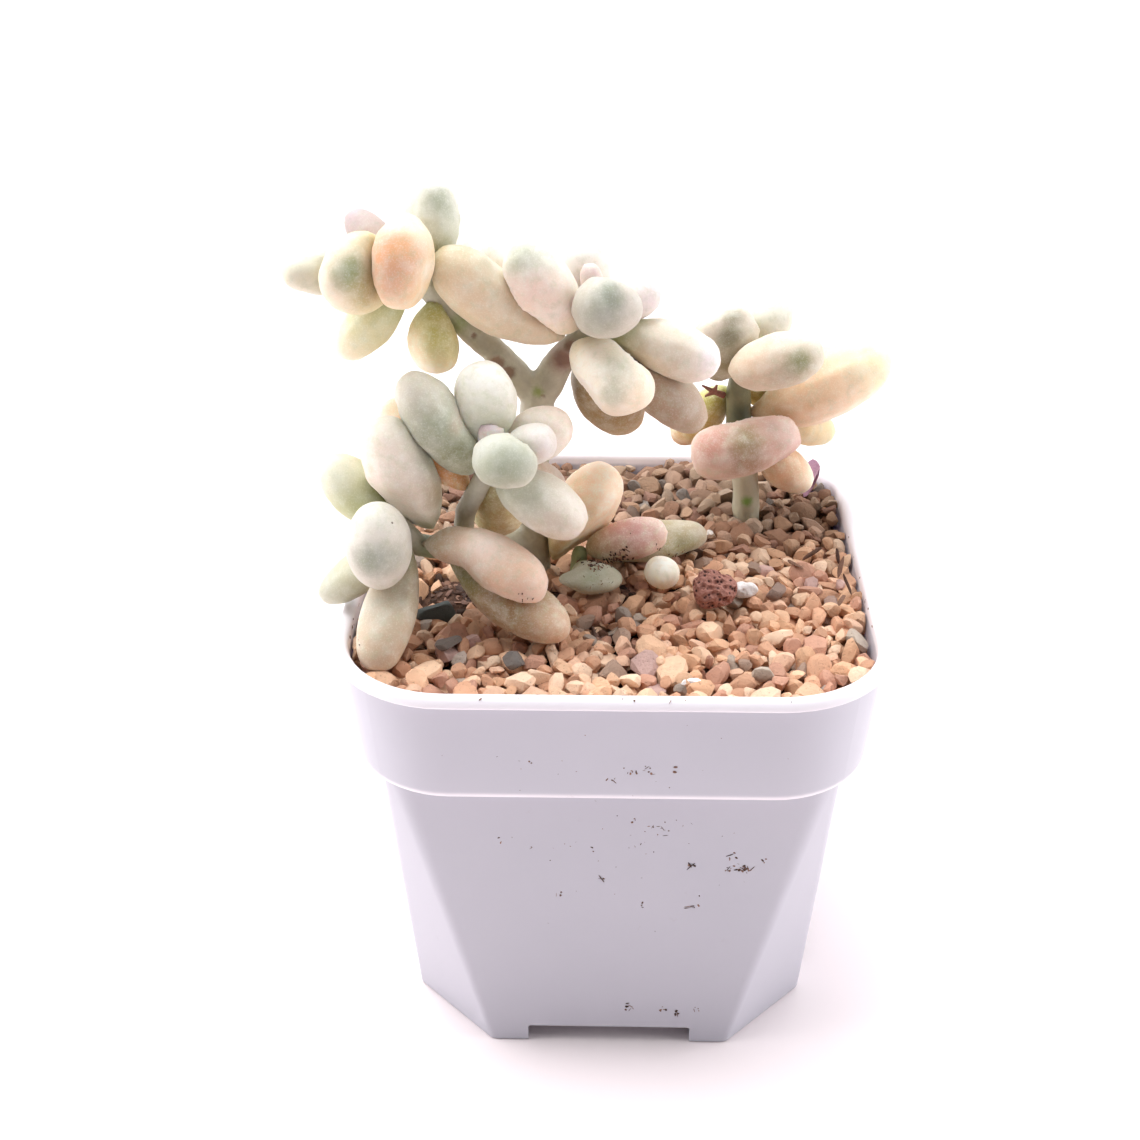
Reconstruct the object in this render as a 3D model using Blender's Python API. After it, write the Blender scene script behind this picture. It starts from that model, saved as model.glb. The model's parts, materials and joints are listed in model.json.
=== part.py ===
"""A potted graptopetalum: a square plastic pot, its soil and gravel, three stems and their leaves.

Metres, +Z up. The origin is the middle of the pot's footprint, on the surface the pot stands on.
The plant is placed from the gravel surface up, so it follows the pot's height, and each leaf is
placed from the stem that carries it.
"""
import math

import bmesh
import bpy
import numpy as np

MM = 0.001

# Pot
POT_WIDTH = 70 * MM            # flat to flat across the lip
POT_HEIGHT = 62 * MM
WALL = 1.0 * MM
LIP_CORNER_RADIUS = 15 * MM
LIP_OVERHANG = 1.0 * MM        # the lip stands this far out from the band
LIP_DEPTH = 1.6 * MM
BAND_HEIGHT = 16.5 * MM        # from the rim to the step under the band
BAND_TAPER = 1.6 * MM          # the band draws in by this much on each side
STEP_WIDTH = 3.3 * MM          # ledge under the band
BODY_TAPER = 1.7 * MM
BODY_CORNER_RADIUS = 4 * MM
FOOT_EDGE = 32.4 * MM          # straight edge between two cut corners, at the foot
FOOT_HEIGHT = 3.0 * MM         # the floor is raised by this much
NOTCH_WIDTH = 22.4 * MM        # one in the middle of each side of the foot
NOTCH_HEIGHT = 2.9 * MM
DRAIN_DIAMETER = 6 * MM
DRAIN_SPACING = 20 * MM

# What fills it
FILL_DROP = 2.2 * MM           # rim down to the gravel
GRAVEL_DEPTH = 9.5 * MM
MOUND = 0.5 * MM               # the gravel stands this much higher in the middle

# Plant
TRUNK_RADIUS = 2.5 * MM
ARM_RADIUS = 1.8 * MM
BRANCH_RADIUS = 1.5 * MM
RIGHT_STEM_RADIUS = 2.1 * MM
SPROUT_RADIUS = 1.4 * MM
ROOT_DEPTH = 22 * MM           # how far the stems go down below the gravel surface
LEAF_SIZE = 1.0                # scales every leaf
STUB_RADIUS = 0.5 * MM
STUB_LENGTH = 2.6 * MM
STUB_AT = 0.88                 # where it stands on the right-hand stem, as a share of its length
LAVA_SIZE = 6.2 * MM
PERLITE_SIZE = 3.2 * MM
STONE_WOBBLE = 0.12            # how far a stone's surface goes in and out, as a share of its size

GAP = 0.3 * MM                 # between pieces that touch
CORNER_STEPS = 6
STEM_SIDES = 10
LEAF_SIDES = 10
LEAF_RINGS = 8

RIM_Z = POT_HEIGHT
STEP_Z = POT_HEIGHT - BAND_HEIGHT
GRAVEL_Z = POT_HEIGHT - FILL_DROP
MIX_Z = GRAVEL_Z - GRAVEL_DEPTH
BAND_TOP_HALF = POT_WIDTH / 2 - LIP_OVERHANG
BAND_BOTTOM_HALF = BAND_TOP_HALF - BAND_TAPER
BODY_TOP_HALF = BAND_BOTTOM_HALF - STEP_WIDTH
FOOT_HALF = BODY_TOP_HALF - BODY_TAPER


# ---------------------------------------------------------------- scene and materials

def clear_scene():
    for obj in list(bpy.data.objects):
        bpy.data.objects.remove(obj, do_unlink=True)


def material(name, colour, roughness, metallic=0.0):
    mat = bpy.data.materials.get(name)
    if mat is None:
        mat = bpy.data.materials.new(name)
        mat.use_nodes = True
        shader = mat.node_tree.nodes["Principled BSDF"]
        shader.inputs["Base Color"].default_value = (*colour, 1.0)
        shader.inputs["Roughness"].default_value = roughness
        shader.inputs["Metallic"].default_value = metallic
    return mat


def add_object(name, bm, mat):
    mesh = bpy.data.meshes.new(name)
    bmesh.ops.triangulate(bm, faces=bm.faces[:])
    bm.to_mesh(mesh)
    bm.free()
    mesh.materials.append(mat)
    obj = bpy.data.objects.new(name, mesh)
    bpy.context.scene.collection.objects.link(obj)
    return obj


def loft(rings):
    """Skin a list of equal rings of points and cap its ends; a ring of one point is a pole."""
    bm = bmesh.new()
    rows = [[bm.verts.new(tuple(point)) for point in ring] for ring in rings]
    for low, high in zip(rows, rows[1:]):
        count = max(len(low), len(high))
        for i in range(count):
            j = (i + 1) % count
            if len(low) == 1:
                bm.faces.new((low[0], high[j], high[i]))
            elif len(high) == 1:
                bm.faces.new((low[i], low[j], high[0]))
            else:
                bm.faces.new((low[i], low[j], high[j], high[i]))
    if len(rows[0]) > 1:
        bm.faces.new(list(reversed(rows[0])))
    if len(rows[-1]) > 1:
        bm.faces.new(rows[-1])
    bmesh.ops.recalc_face_normals(bm, faces=bm.faces[:])
    return bm


def boolean(obj, cutter, operation):
    mod = obj.modifiers.new(operation.lower() + "_" + cutter.name, "BOOLEAN")
    mod.operation = operation
    mod.solver = "EXACT"
    mod.object = cutter


def cutter(name, bm):
    mesh = bpy.data.meshes.new(name)
    bm.to_mesh(mesh)
    bm.free()
    obj = bpy.data.objects.new(name, mesh)
    bpy.context.scene.collection.objects.link(obj)
    obj.hide_render = True
    obj.display_type = "WIRE"
    return obj


def box_cutter(name, size, centre):
    bm = bmesh.new()
    bmesh.ops.create_cube(bm, size=1.0)
    bmesh.ops.scale(bm, vec=size, verts=bm.verts[:])
    bmesh.ops.translate(bm, vec=centre, verts=bm.verts[:])
    return cutter(name, bm)


def rod_cutter(name, radius, low, high, x, y, sides=16):
    bm = bmesh.new()
    bmesh.ops.create_cone(bm, cap_ends=True, segments=sides, radius1=radius, radius2=radius,
                          depth=high - low)
    bmesh.ops.translate(bm, vec=(x, y, (low + high) / 2), verts=bm.verts[:])
    return cutter(name, bm)


# ---------------------------------------------------------------- pot outlines

def square_ring(half, radius, z):
    """A square with round corners, counter-clockwise from the +X+Y corner."""
    ring = []
    for corner in range(4):
        start = corner * math.pi / 2
        cx = math.copysign(half - radius, math.cos(start + math.pi / 4))
        cy = math.copysign(half - radius, math.sin(start + math.pi / 4))
        for step in range(CORNER_STEPS + 1):
            angle = start + step / CORNER_STEPS * math.pi / 2
            ring.append((cx + radius * math.cos(angle), cy + radius * math.sin(angle), z))
    return ring


def eight_sided_ring(half, edge_half, z):
    """A square with straight cut corners, with as many points as square_ring."""
    ring = []
    for corner in range(4):
        turn = corner * math.pi / 2
        for step in range(CORNER_STEPS + 1):
            share = step / CORNER_STEPS
            x = half + (edge_half - half) * share
            y = edge_half + (half - edge_half) * share
            ring.append((x * math.cos(turn) - y * math.sin(turn),
                         x * math.sin(turn) + y * math.cos(turn), z))
    return ring


def blend_rings(ring_a, ring_b, share, z):
    return [(a[0] + (b[0] - a[0]) * share, a[1] + (b[1] - a[1]) * share, z)
            for a, b in zip(ring_a, ring_b)]


def body_ring(z, inset=0.0):
    """The pot's lower body: eight-sided at the foot, nearly square under the band."""
    foot = eight_sided_ring(FOOT_HALF - inset, FOOT_EDGE / 2 - inset * math.tan(math.pi / 8), z)
    top = square_ring(BODY_TOP_HALF - inset, max(BODY_CORNER_RADIUS - inset, GAP), z)
    return blend_rings(foot, top, z / STEP_Z, z)


def band_ring(z, inset=0.0):
    """The upright band between the step and the lip."""
    share = (z - STEP_Z) / BAND_HEIGHT
    half = BAND_BOTTOM_HALF + BAND_TAPER * share - inset
    radius = LIP_CORNER_RADIUS - (POT_WIDTH / 2 - half)
    return square_ring(half, radius, z)


def make_pot():
    lip = []
    lip_profile = ((0.0, -LIP_DEPTH), (0.75 * LIP_OVERHANG, -0.95 * LIP_DEPTH),
                   (LIP_OVERHANG, -0.65 * LIP_DEPTH), (LIP_OVERHANG, -0.35 * LIP_DEPTH),
                   (0.65 * LIP_OVERHANG, -0.05 * LIP_DEPTH), (0.0, 0.0),
                   (-0.7 * WALL, -0.1 * LIP_DEPTH), (-WALL, -0.4 * LIP_DEPTH))
    for out, drop in lip_profile:
        half = BAND_TOP_HALF + out
        lip.append(square_ring(half, LIP_CORNER_RADIUS - (POT_WIDTH / 2 - half), RIM_Z + drop))
    floor_z = FOOT_HEIGHT + WALL
    rings = [
        body_ring(FOOT_HEIGHT, WALL),
        body_ring(0.0, WALL),
        body_ring(0.0),
        body_ring(STEP_Z / 2),
        body_ring(STEP_Z),
        band_ring(STEP_Z),
        band_ring(STEP_Z + BAND_HEIGHT / 2),
        *lip,
        band_ring(STEP_Z + WALL, WALL),
        body_ring(STEP_Z + WALL, WALL),
        body_ring(floor_z, WALL),
    ]
    pot = add_object("pot", loft(rings), material("pot_plastic", (0.86, 0.85, 0.90), 0.35))
    for name, size in (("notch_x", (POT_WIDTH, NOTCH_WIDTH)), ("notch_y", (NOTCH_WIDTH, POT_WIDTH))):
        boolean(pot, box_cutter(name, (*size, 2 * NOTCH_HEIGHT), (0, 0, 0)), "DIFFERENCE")
    spots = [(0, 0)]
    spots += [(sx * DRAIN_SPACING / 2, sy * DRAIN_SPACING / 2) for sx in (-1, 1) for sy in (-1, 1)]
    for number, (x, y) in enumerate(spots):
        tool = rod_cutter(f"drain_{number}", DRAIN_DIAMETER / 2, FOOT_HEIGHT - WALL,
                          floor_z + WALL, x, y)
        boolean(pot, tool, "DIFFERENCE")


# ---------------------------------------------------------------- stems

class Stem:
    """A round stem through its points, thinning from foot_radius to tip_radius."""

    def __init__(self, points, foot_radius, tip_radius, offset=(0.0, 0.0, 0.0)):
        self.points = [np.array(p, float) * MM + np.array(offset, float) for p in points]
        self.foot_radius = foot_radius
        self.tip_radius = tip_radius
        steps = [np.linalg.norm(b - a) for a, b in zip(self.points, self.points[1:])]
        self.marks = np.concatenate([[0.0], np.cumsum(steps)]) / sum(steps)

    def radius(self, share):
        return self.foot_radius + (self.tip_radius - self.foot_radius) * share

    def point(self, share):
        return np.array([np.interp(share, self.marks, [p[k] for p in self.points])
                         for k in range(3)])

    def direction(self, share):
        last = len(self.points) - 2
        i = min(int(np.searchsorted(self.marks, share, side="right")) - 1, last)
        step = self.points[i + 1] - self.points[i]
        return step / np.linalg.norm(step)

    def capsules(self):
        """Straight pieces as (start, end, radius), the radius being the thicker end's."""
        return [(a, b, self.radius(m)) for a, b, m in
                zip(self.points, self.points[1:], self.marks)]

    def mesh(self):
        """A round tube with a domed tip and a domed foot."""
        tangents = []
        for i in range(len(self.points)):
            before = self.points[max(i - 1, 0)]
            after = self.points[min(i + 1, len(self.points) - 1)]
            tangents.append((after - before) / np.linalg.norm(after - before))
        side = np.cross(tangents[0], (0.0, 1.0, 0.0))
        rings = [[self.points[0] - tangents[0] * 0.7 * self.foot_radius]]
        for point, tangent, mark in zip(self.points, tangents, self.marks):
            side = side - tangent * np.dot(side, tangent)
            side = side / np.linalg.norm(side)
            up = np.cross(tangent, side)
            rings.append([point + self.radius(mark) * (side * math.cos(a) + up * math.sin(a))
                          for a in np.arange(STEM_SIDES) * 2 * math.pi / STEM_SIDES])
        dome = self.points[-1] + tangents[-1] * 0.5 * self.tip_radius
        rings.append([dome + 0.75 * (p - self.points[-1]) for p in rings[-1]])
        rings.append([self.points[-1] + tangents[-1] * 0.8 * self.tip_radius])
        return loft(rings)


ON_GRAVEL = (0.0, 0.0, GRAVEL_Z)
ROOT = -ROOT_DEPTH / MM

# Points in millimetres from the middle of the gravel surface.
TRUNK = Stem([(-11, 2, ROOT), (-11, 2, 0), (-11.3, 2, 12), (-10.2, 1, 22), (-9.6, 0.5, 27)],
             TRUNK_RADIUS, 0.9 * TRUNK_RADIUS, ON_GRAVEL)
LEFT_ARM = Stem([(-9.8, 0.8, 25), (-14.5, 0, 31.2), (-19, -1, 36), (-23.2, -2, 41), (-25.4, -3, 43.2)],
                1.05 * ARM_RADIUS, 0.72 * ARM_RADIUS, ON_GRAVEL)
RIGHT_ARM = Stem([(-9.6, 0.8, 25.5), (-6.6, 0.2, 31), (-3.6, -0.8, 34), (-2.2, -1.6, 36.5)],
                 1.25 * ARM_RADIUS, 0.85 * ARM_RADIUS, ON_GRAVEL)
LOW_BRANCH = Stem([(-11.2, 1.6, 4), (-15.5, -4, 6.2), (-20.2, -9.5, 8.6), (-24.6, -12.4, 10.6),
                   (-26.6, -13.8, 14)],
                  1.2 * BRANCH_RADIUS, 0.9 * BRANCH_RADIUS, ON_GRAVEL)
FRONT_TWIG = Stem([(-19.6, -9, 8.2), (-18.6, -10.6, 14.5), (-16.4, -11.6, 19), (-15, -12.4, 22.6)],
                  0.95 * BRANCH_RADIUS, 0.8 * BRANCH_RADIUS, ON_GRAVEL)
RIGHT_STEM = Stem([(19.4, 17, ROOT), (19.4, 17, 0), (18.8, 16.8, 7), (17.6, 16.5, 14), (17.3, 16, 20),
                   (17.9, 15.4, 24.5)],
                  RIGHT_STEM_RADIUS, 0.8 * RIGHT_STEM_RADIUS, ON_GRAVEL)
SPROUT = Stem([(-4.6, -0.6, ROOT / 2), (-4.6, -0.6, 0), (-4.4, -0.6, 3.4)],
              SPROUT_RADIUS, 0.8 * SPROUT_RADIUS, ON_GRAVEL)

# Where a fallen leaf lies: a stem of no length, with its foothold just above the gravel.
LYING = Stem([(6, -1.2, 2.4), (6, -1.4, 2.4)], 0.0, 0.0, ON_GRAVEL)

STEM_NODES = {
    "main_stem": [TRUNK, LEFT_ARM, RIGHT_ARM, LOW_BRANCH, FRONT_TWIG],
    "right_stem": [RIGHT_STEM],
    "sprout_stem": [SPROUT],
}


def make_stems():
    bark = material("stem_skin", (0.36, 0.40, 0.32), 0.6)
    for name, stems in STEM_NODES.items():
        obj = add_object(name, stems[0].mesh(), bark)
        for number, branch in enumerate(stems[1:]):
            tool = cutter(f"{name}_branch_{number}", branch.mesh())
            boolean(obj, tool, "UNION")


# ---------------------------------------------------------------- soil and gravel

def gravel_height(x, y):
    """The gravel surface, in metres above the table."""
    reach = BAND_TOP_HALF - WALL
    return GRAVEL_Z + MOUND * (1 - min(1.0, (x * x + y * y) / (reach * reach)))


def bore_for_stems(obj, low, high):
    for name, stems in STEM_NODES.items():
        root = stems[0]
        tool = rod_cutter(f"{obj.name}_bore_{name}", root.foot_radius + GAP, low, high,
                          root.points[0][0], root.points[0][1])
        boolean(obj, tool, "DIFFERENCE")


def make_fill():
    inset = WALL + GAP
    ledge = STEP_Z + WALL + GAP
    mix = [body_ring(FOOT_HEIGHT + WALL + GAP, inset), body_ring(ledge, inset),
           band_ring(ledge, inset), band_ring(MIX_Z, inset)]
    soil = add_object("potting_mix", loft(mix), material("potting_mix", (0.10, 0.065, 0.045), 0.95))
    deepest = min(stem.points[0][2] for stems in STEM_NODES.values() for stem in stems)
    bore_for_stems(soil, deepest - TRUNK_RADIUS, MIX_Z + GAP)

    edge_top = band_ring(GRAVEL_Z, inset)
    surface = [edge_top]
    for share in (0.8, 0.6, 0.4, 0.2):
        surface.append([(x * share, y * share, gravel_height(x * share, y * share))
                        for x, y, z in edge_top])
    surface.append([(0.0, 0.0, gravel_height(0.0, 0.0))])
    gravel_rings = [band_ring(MIX_Z + GAP, inset), *surface]
    stones = add_object("gravel", loft(gravel_rings), material("akadama", (0.62, 0.40, 0.24), 0.9))
    bore_for_stems(stones, MIX_Z - GAP, GRAVEL_Z + 2 * MOUND + GAP)


# ---------------------------------------------------------------- leaves

class Leaf:
    """A plump leaf from its base on a stem to its tip.

    reach: base to tip, in millimetres.  width, thickness: in millimetres, at the fattest place.
    at: how far along its stem it grows.  waist: share of the length that is a thin neck.
    taper: 1 is as full at the base as at the tip; more is slimmer towards the base.
    sag: how far the middle bows away from the straight line, up when positive, in millimetres.
    seat: the share of the leaf that lies behind its foothold, for a leaf held by its side.
    out: the side of the stem it is held on, where that isn't the side it points to.
    """

    def __init__(self, name, stem, at, reach, width, thickness, sag=0.0, taper=1.15, waist=0.0,
                 seat=0.0, out=None, tone="cream"):
        self.name = name
        self.tone = tone
        self.taper = taper
        reach = np.array(reach, float)
        self.axis = reach / np.linalg.norm(reach)
        self.length = np.linalg.norm(reach) * MM * LEAF_SIZE
        self.half_width = width / 2 * MM * LEAF_SIZE
        self.half_thick = thickness / 2 * MM * LEAF_SIZE
        self.sag = sag * MM * LEAF_SIZE
        self.waist = waist
        along = stem.direction(at)
        if out is not None:
            outward = np.array(out, float)
        elif at >= 1.0:
            outward = self.axis
        else:
            outward = self.axis - along * np.dot(self.axis, along)
        self.outward = outward / np.linalg.norm(outward)
        foothold = stem.point(min(at, 1.0)) + self.outward * (stem.radius(at) + GAP)
        if seat > 0.0:
            foothold = foothold + self.outward * self.half_thick
        self.base = foothold - self.axis * self.length * seat
        up = np.array((0.0, 0.0, 1.0))
        if abs(self.axis[2]) > 0.9:
            up = -self.outward if self.axis[2] < 0 else np.array((0.0, 1.0, 0.0))
        up = up - self.axis * np.dot(up, self.axis)
        self.up = up / np.linalg.norm(up)
        self.side = np.cross(self.up, self.axis)
        self.points = self.skin()

    def fullness(self, share):
        """Thickness along the leaf, from 0 at the base through 1 at the fattest place to 0."""
        body = math.sin(math.pi * share ** self.taper) ** 0.5
        if self.waist > 0.0:
            neck = min(1.0, share / self.waist)
            neck = neck * neck * (3 - 2 * neck)
            body = body * (0.45 + 0.55 * neck)
        return body

    def centre(self, share):
        bow = 4 * share * (1 - share) * self.sag
        return self.base + self.axis * self.length * share + self.up * bow

    def skin(self):
        rows = [[self.centre(0.0)]]
        for i in range(1, LEAF_RINGS + 1):
            share = (1 - math.cos(math.pi * i / (LEAF_RINGS + 1))) / 2
            full = self.fullness(share)
            middle = self.centre(share)
            rows.append([middle + full * (self.side * self.half_width * math.cos(a)
                                          + self.up * self.half_thick * math.sin(a))
                         for a in np.arange(LEAF_SIDES) * 2 * math.pi / LEAF_SIDES])
        rows.append([self.centre(1.0)])
        self.row_lengths = [len(row) for row in rows]
        return np.array([point for row in rows for point in row])

    def rows(self):
        cuts = np.cumsum(self.row_lengths)[:-1]
        return [list(part) for part in np.split(self.points, cuts)]

    def press(self, normal, level):
        """Flatten what stands beyond the plane normal . p = level."""
        over = self.points @ normal - level
        over[over < 0] = 0
        self.points -= over[:, None] * normal


LEAVES = []


def grow(rosette, stem, *leaves):
    """Number a rosette's leaves and add them."""
    for number, leaf in enumerate(leaves, start=1):
        LEAVES.append(Leaf(f"{rosette}_leaf_{number}", stem, **leaf))


grow("upper_left", LEFT_ARM,
     dict(at=0.90, reach=(1, 2.5, 10.8), width=7.2, thickness=6.4, tone="sage"),
     dict(at=1.0, reach=(-6, 4, 5), width=5.5, thickness=4.5, tone="pink"),
     dict(at=1.0, reach=(-12.4, -5.5, 1.6), width=6.6, thickness=5.6, tone="cream"),
     dict(at=1.0, reach=(-7, -9.5, 2.8), width=7.4, thickness=9.8, tone="sage"),
     dict(at=0.98, reach=(-1.4, -9, 6.4), width=7.6, thickness=11.5, tone="peach"),
     dict(at=0.95, reach=(-8.5, -0.5, -8.5), width=7.5, thickness=6, tone="cream"),
     dict(at=0.80, reach=(1.4, -1.5, -8.2), width=8, thickness=6.4, tone="sage"),
     dict(at=0.90, reach=(4, 10, 1), width=6.5, thickness=6, tone="cream"))

grow("upper_middle", RIGHT_ARM,
     dict(at=0.70, reach=(-15.8, -4, 11.2), width=9, thickness=8.8, sag=-0.6, tone="cream"),
     dict(at=0.90, reach=(-12, 5, 8), width=7.5, thickness=6.5, tone="cream"),
     dict(at=0.88, reach=(-7.6, -4, 10.5), width=8.8, thickness=7.8, tone="pink"),
     dict(at=1.0, reach=(-2.5, 5, 8), width=7.5, thickness=6, tone="cream"),
     dict(at=1.0, reach=(-0.8, 0.5, 5.5), width=3.6, thickness=3, tone="pink"),
     dict(at=1.0, reach=(1.6, -7.5, 5), width=8.8, thickness=7.6, tone="sage"),
     dict(at=1.0, reach=(6, 1, 3.5), width=6.5, thickness=5.5, tone="pink"),
     dict(at=0.95, reach=(14, -1.5, -3.6), width=8, thickness=7.6, tone="cream"),
     dict(at=0.70, reach=(8.2, -7.5, -5), width=9.4, thickness=8.6, taper=1.45, out=(-0.5, -1, 0.6),
          tone="cream"),
     dict(at=0.85, reach=(13, 0, -11.5), width=8.2, thickness=7, tone="tan"),
     dict(at=0.60, reach=(5.5, 5, -11.6), width=10, thickness=8, tone="tan"))

grow("front", FRONT_TWIG,
     dict(at=0.80, reach=(-7.6, -0.8, 13.2), width=8.2, thickness=7.2, tone="sage"),
     dict(at=1.0, reach=(-1, 3, 10), width=8, thickness=6.5, tone="sage"),
     dict(at=1.0, reach=(0, 0.5, 3.6), width=3.8, thickness=3.2, tone="pink"),
     dict(at=1.0, reach=(8, 4, 3), width=8.4, thickness=6.5, tone="sage"),
     dict(at=1.0, reach=(6.5, -1.5, 3.2), width=6.8, thickness=5.4, tone="sage"),
     dict(at=1.0, reach=(2.8, -6.5, 3), width=8.4, thickness=7, tone="sage"),
     dict(at=0.92, reach=(10.5, -3.5, -6), width=7.8, thickness=7.2, tone="sage"),
     dict(at=0.62, reach=(-10.6, 7, 8.2), width=7.5, thickness=6, tone="peach"),
     dict(at=0.95, reach=(7, 7.5, -7.2), width=6.5, thickness=5.5, tone="pink"),
     dict(at=0.85, reach=(0, 6, -11), width=8, thickness=6, tone="cream"))

grow("left", LOW_BRANCH,
     dict(at=0.84, reach=(-4.4, -3, 17), width=9, thickness=7.8, tone="sage"),
     dict(at=0.95, reach=(-9, 2, 8.2), width=8.2, thickness=6.8, tone="sage"),
     dict(at=1.0, reach=(-2.5, -8, 0), width=8, thickness=12.5, tone="sage"),
     dict(at=0.90, reach=(-10.5, 0, -8), width=6, thickness=5.5, tone="sage"),
     dict(at=0.90, reach=(-3.2, -11.5, -11), width=7.2, thickness=7, tone="cream"))

grow("low_branch", LOW_BRANCH,
     dict(at=0.80, reach=(15.6, -6, -3.6), width=7.8, thickness=7.4, taper=1.4, waist=0.4, sag=1.6,
          out=(0, -1, 0.6), tone="pink"),
     dict(at=0.70, reach=(15.4, -7.5, -7), width=8.2, thickness=7, taper=1.3, waist=0.35, tone="tan"))

grow("trunk", TRUNK,
     dict(at=0.46, reach=(8, -0.5, 14), width=10.4, thickness=8.8, taper=1.25, tone="peach"))

grow("sprout", SPROUT,
     dict(at=1.0, reach=(10.2, 0.5, 2.6), width=6.2, thickness=5.8, tone="pink"),
     dict(at=1.0, reach=(16, 6.5, -0.8), width=6.8, thickness=5.8, tone="sage"),
     dict(at=0.80, reach=(8.4, -2.6, 0.4), width=6.4, thickness=6.6, seat=0.2, out=(-0.2, -1, 0),
          waist=0.3, tone="sage"))

LEAVES.append(Leaf("loose_leaf", LYING, 1.0, (1, -6, 0.4), width=5, thickness=4.8, tone="cream"))

grow("right", RIGHT_STEM,
     dict(at=0.93, reach=(-0.4, -2, 10.8), width=10.6, thickness=7.8, tone="sage"),
     dict(at=1.0, reach=(4, 4, 6.5), width=7.5, thickness=6, tone="sage"),
     dict(at=0.98, reach=(11.6, -4, 4.5), width=7.8, thickness=7.6, seat=0.2, out=(0, -1, 0.4),
          tone="cream"),
     dict(at=0.80, reach=(18.5, 1.7, 9.4), width=10.4, thickness=10, tone="cream"),
     dict(at=0.76, reach=(-15, -1, -2.5), width=8.8, thickness=8.4, sag=0.8, seat=0.5,
          out=(0.1, -1, 0), tone="pink"),
     dict(at=0.70, reach=(8, 1, -6.5), width=7, thickness=6, tone="cream"),
     dict(at=0.85, reach=(12, 5, -7), width=7, thickness=6, tone="cream"),
     dict(at=0.90, reach=(-6, 5, -10), width=7.6, thickness=6, tone="cream"),
     dict(at=0.92, reach=(6, 7, -6), width=7, thickness=6, tone="cream"))


def closest_on_segments(p0, p1, q0, q1, steps=9):
    """The two closest points of two straight pieces, to within a small step."""
    shares = np.linspace(0, 1, steps)
    line_p = p0 + shares[:, None] * (p1 - p0)
    line_q = q0 + shares[:, None] * (q1 - q0)
    gaps = np.linalg.norm(line_p[:, None] - line_q[None], axis=2)
    i, j = np.unravel_index(np.argmin(gaps), gaps.shape)
    return line_p[i], line_q[j]


def best_plane(cloud_a, cloud_b, normal):
    """Tilt a plane between two leaves until it cuts off least of both."""
    def cut(n):
        return (cloud_a @ n).max() - (cloud_b @ n).min()

    least = cut(normal)
    reach = 0.4
    while reach > 0.02:
        side = np.cross(normal, (0.0, 0.0, 1.0) if abs(normal[2]) < 0.8 else (1.0, 0.0, 0.0))
        side = side / np.linalg.norm(side)
        other = np.cross(normal, side)
        better = None
        for turn in np.arange(8) * math.pi / 4:
            trial = normal + reach * (side * math.cos(turn) + other * math.sin(turn))
            trial = trial / np.linalg.norm(trial)
            value = cut(trial)
            if value < least:
                least, better = value, trial
        if better is None:
            reach = reach / 2
        else:
            normal = better
    return normal, least


def settle_against_stems(leaf):
    """Keep a leaf clear of every straight piece of every stem."""
    for stems in STEM_NODES.values():
        for stem in stems:
            for start, end, radius in stem.capsules():
                on_leaf, on_stem = closest_on_segments(leaf.centre(0.0), leaf.centre(1.0), start, end)
                away = on_leaf - on_stem
                gap = np.linalg.norm(away)
                if gap > radius + leaf.half_width + GAP or gap < 1e-6:
                    continue
                ends = np.array([start, end])
                normal, least = best_plane(leaf.points, ends, -away / gap)
                leaf.press(normal, (ends @ normal).min() - radius - GAP)


def settle_in_pot(leaf):
    """A leaf that reaches down past the rim stays inside the wall, or lies on top of the rim."""
    low = leaf.points[leaf.points[:, 2] < RIM_Z + GAP]
    if len(low) == 0:
        return
    half = BAND_TOP_HALF - WALL
    corner = LIP_CORNER_RADIUS - (POT_WIDTH / 2 - half)
    walls = []
    for angle in np.arange(4 * CORNER_STEPS) * math.pi / (2 * CORNER_STEPS):
        normal = np.array((math.cos(angle), math.sin(angle), 0.0))
        reach = (half - corner) * (abs(normal[0]) + abs(normal[1])) + corner - BAND_TAPER / 2 - GAP
        walls.append((normal, reach))
    outside = max((low @ normal).max() - reach for normal, reach in walls)
    below = RIM_Z + GAP - low[:, 2].min()
    if outside <= 0:
        return
    if below < outside:
        leaf.press(np.array((0.0, 0.0, -1.0)), -(RIM_Z + GAP))
    else:
        for normal, reach in walls:
            leaf.press(normal, reach)


def settle_leaves():
    """Leaves that push against each other, a stem, the pot or the gravel flatten where they meet."""
    for number, leaf in enumerate(LEAVES):
        for other in LEAVES[number + 1:]:
            on_leaf, on_other = closest_on_segments(leaf.centre(0.0), leaf.centre(1.0),
                                                    other.centre(0.0), other.centre(1.0))
            away = on_other - on_leaf
            gap = np.linalg.norm(away)
            if gap > leaf.half_width + other.half_width + 4 * GAP:
                continue
            start = away / gap if gap > 1e-6 else other.axis
            normal, cut = best_plane(leaf.points, other.points, start)
            if cut > -GAP:
                level = ((leaf.points @ normal).max() + (other.points @ normal).min()) / 2
                leaf.press(normal, level - GAP / 2)
                other.press(-normal, -level - GAP / 2)
    for leaf in LEAVES:
        settle_against_stems(leaf)
        settle_in_pot(leaf)
        floor = np.array([gravel_height(x, y) for x, y, z in leaf.points]) + GAP
        leaf.points[:, 2] = np.maximum(leaf.points[:, 2], floor)


def make_stone(name, x, y, size, stretch, seed, mat):
    """A lump that lies on the gravel: a ball pushed in and out, and flat where it rests."""
    bm = bmesh.new()
    bmesh.ops.create_icosphere(bm, subdivisions=2, radius=size / 2)
    wobble = np.random.default_rng(seed).uniform(1 - STONE_WOBBLE, 1 + STONE_WOBBLE, len(bm.verts))
    floor = gravel_height(x, y) + GAP
    for vert, share in zip(bm.verts, wobble):
        vert.co = (x + vert.co.x * share * stretch[0], y + vert.co.y * share * stretch[1],
                   max(floor, floor + size * 0.3 + vert.co.z * share * stretch[2]))
    add_object(name, bm, mat)


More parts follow.
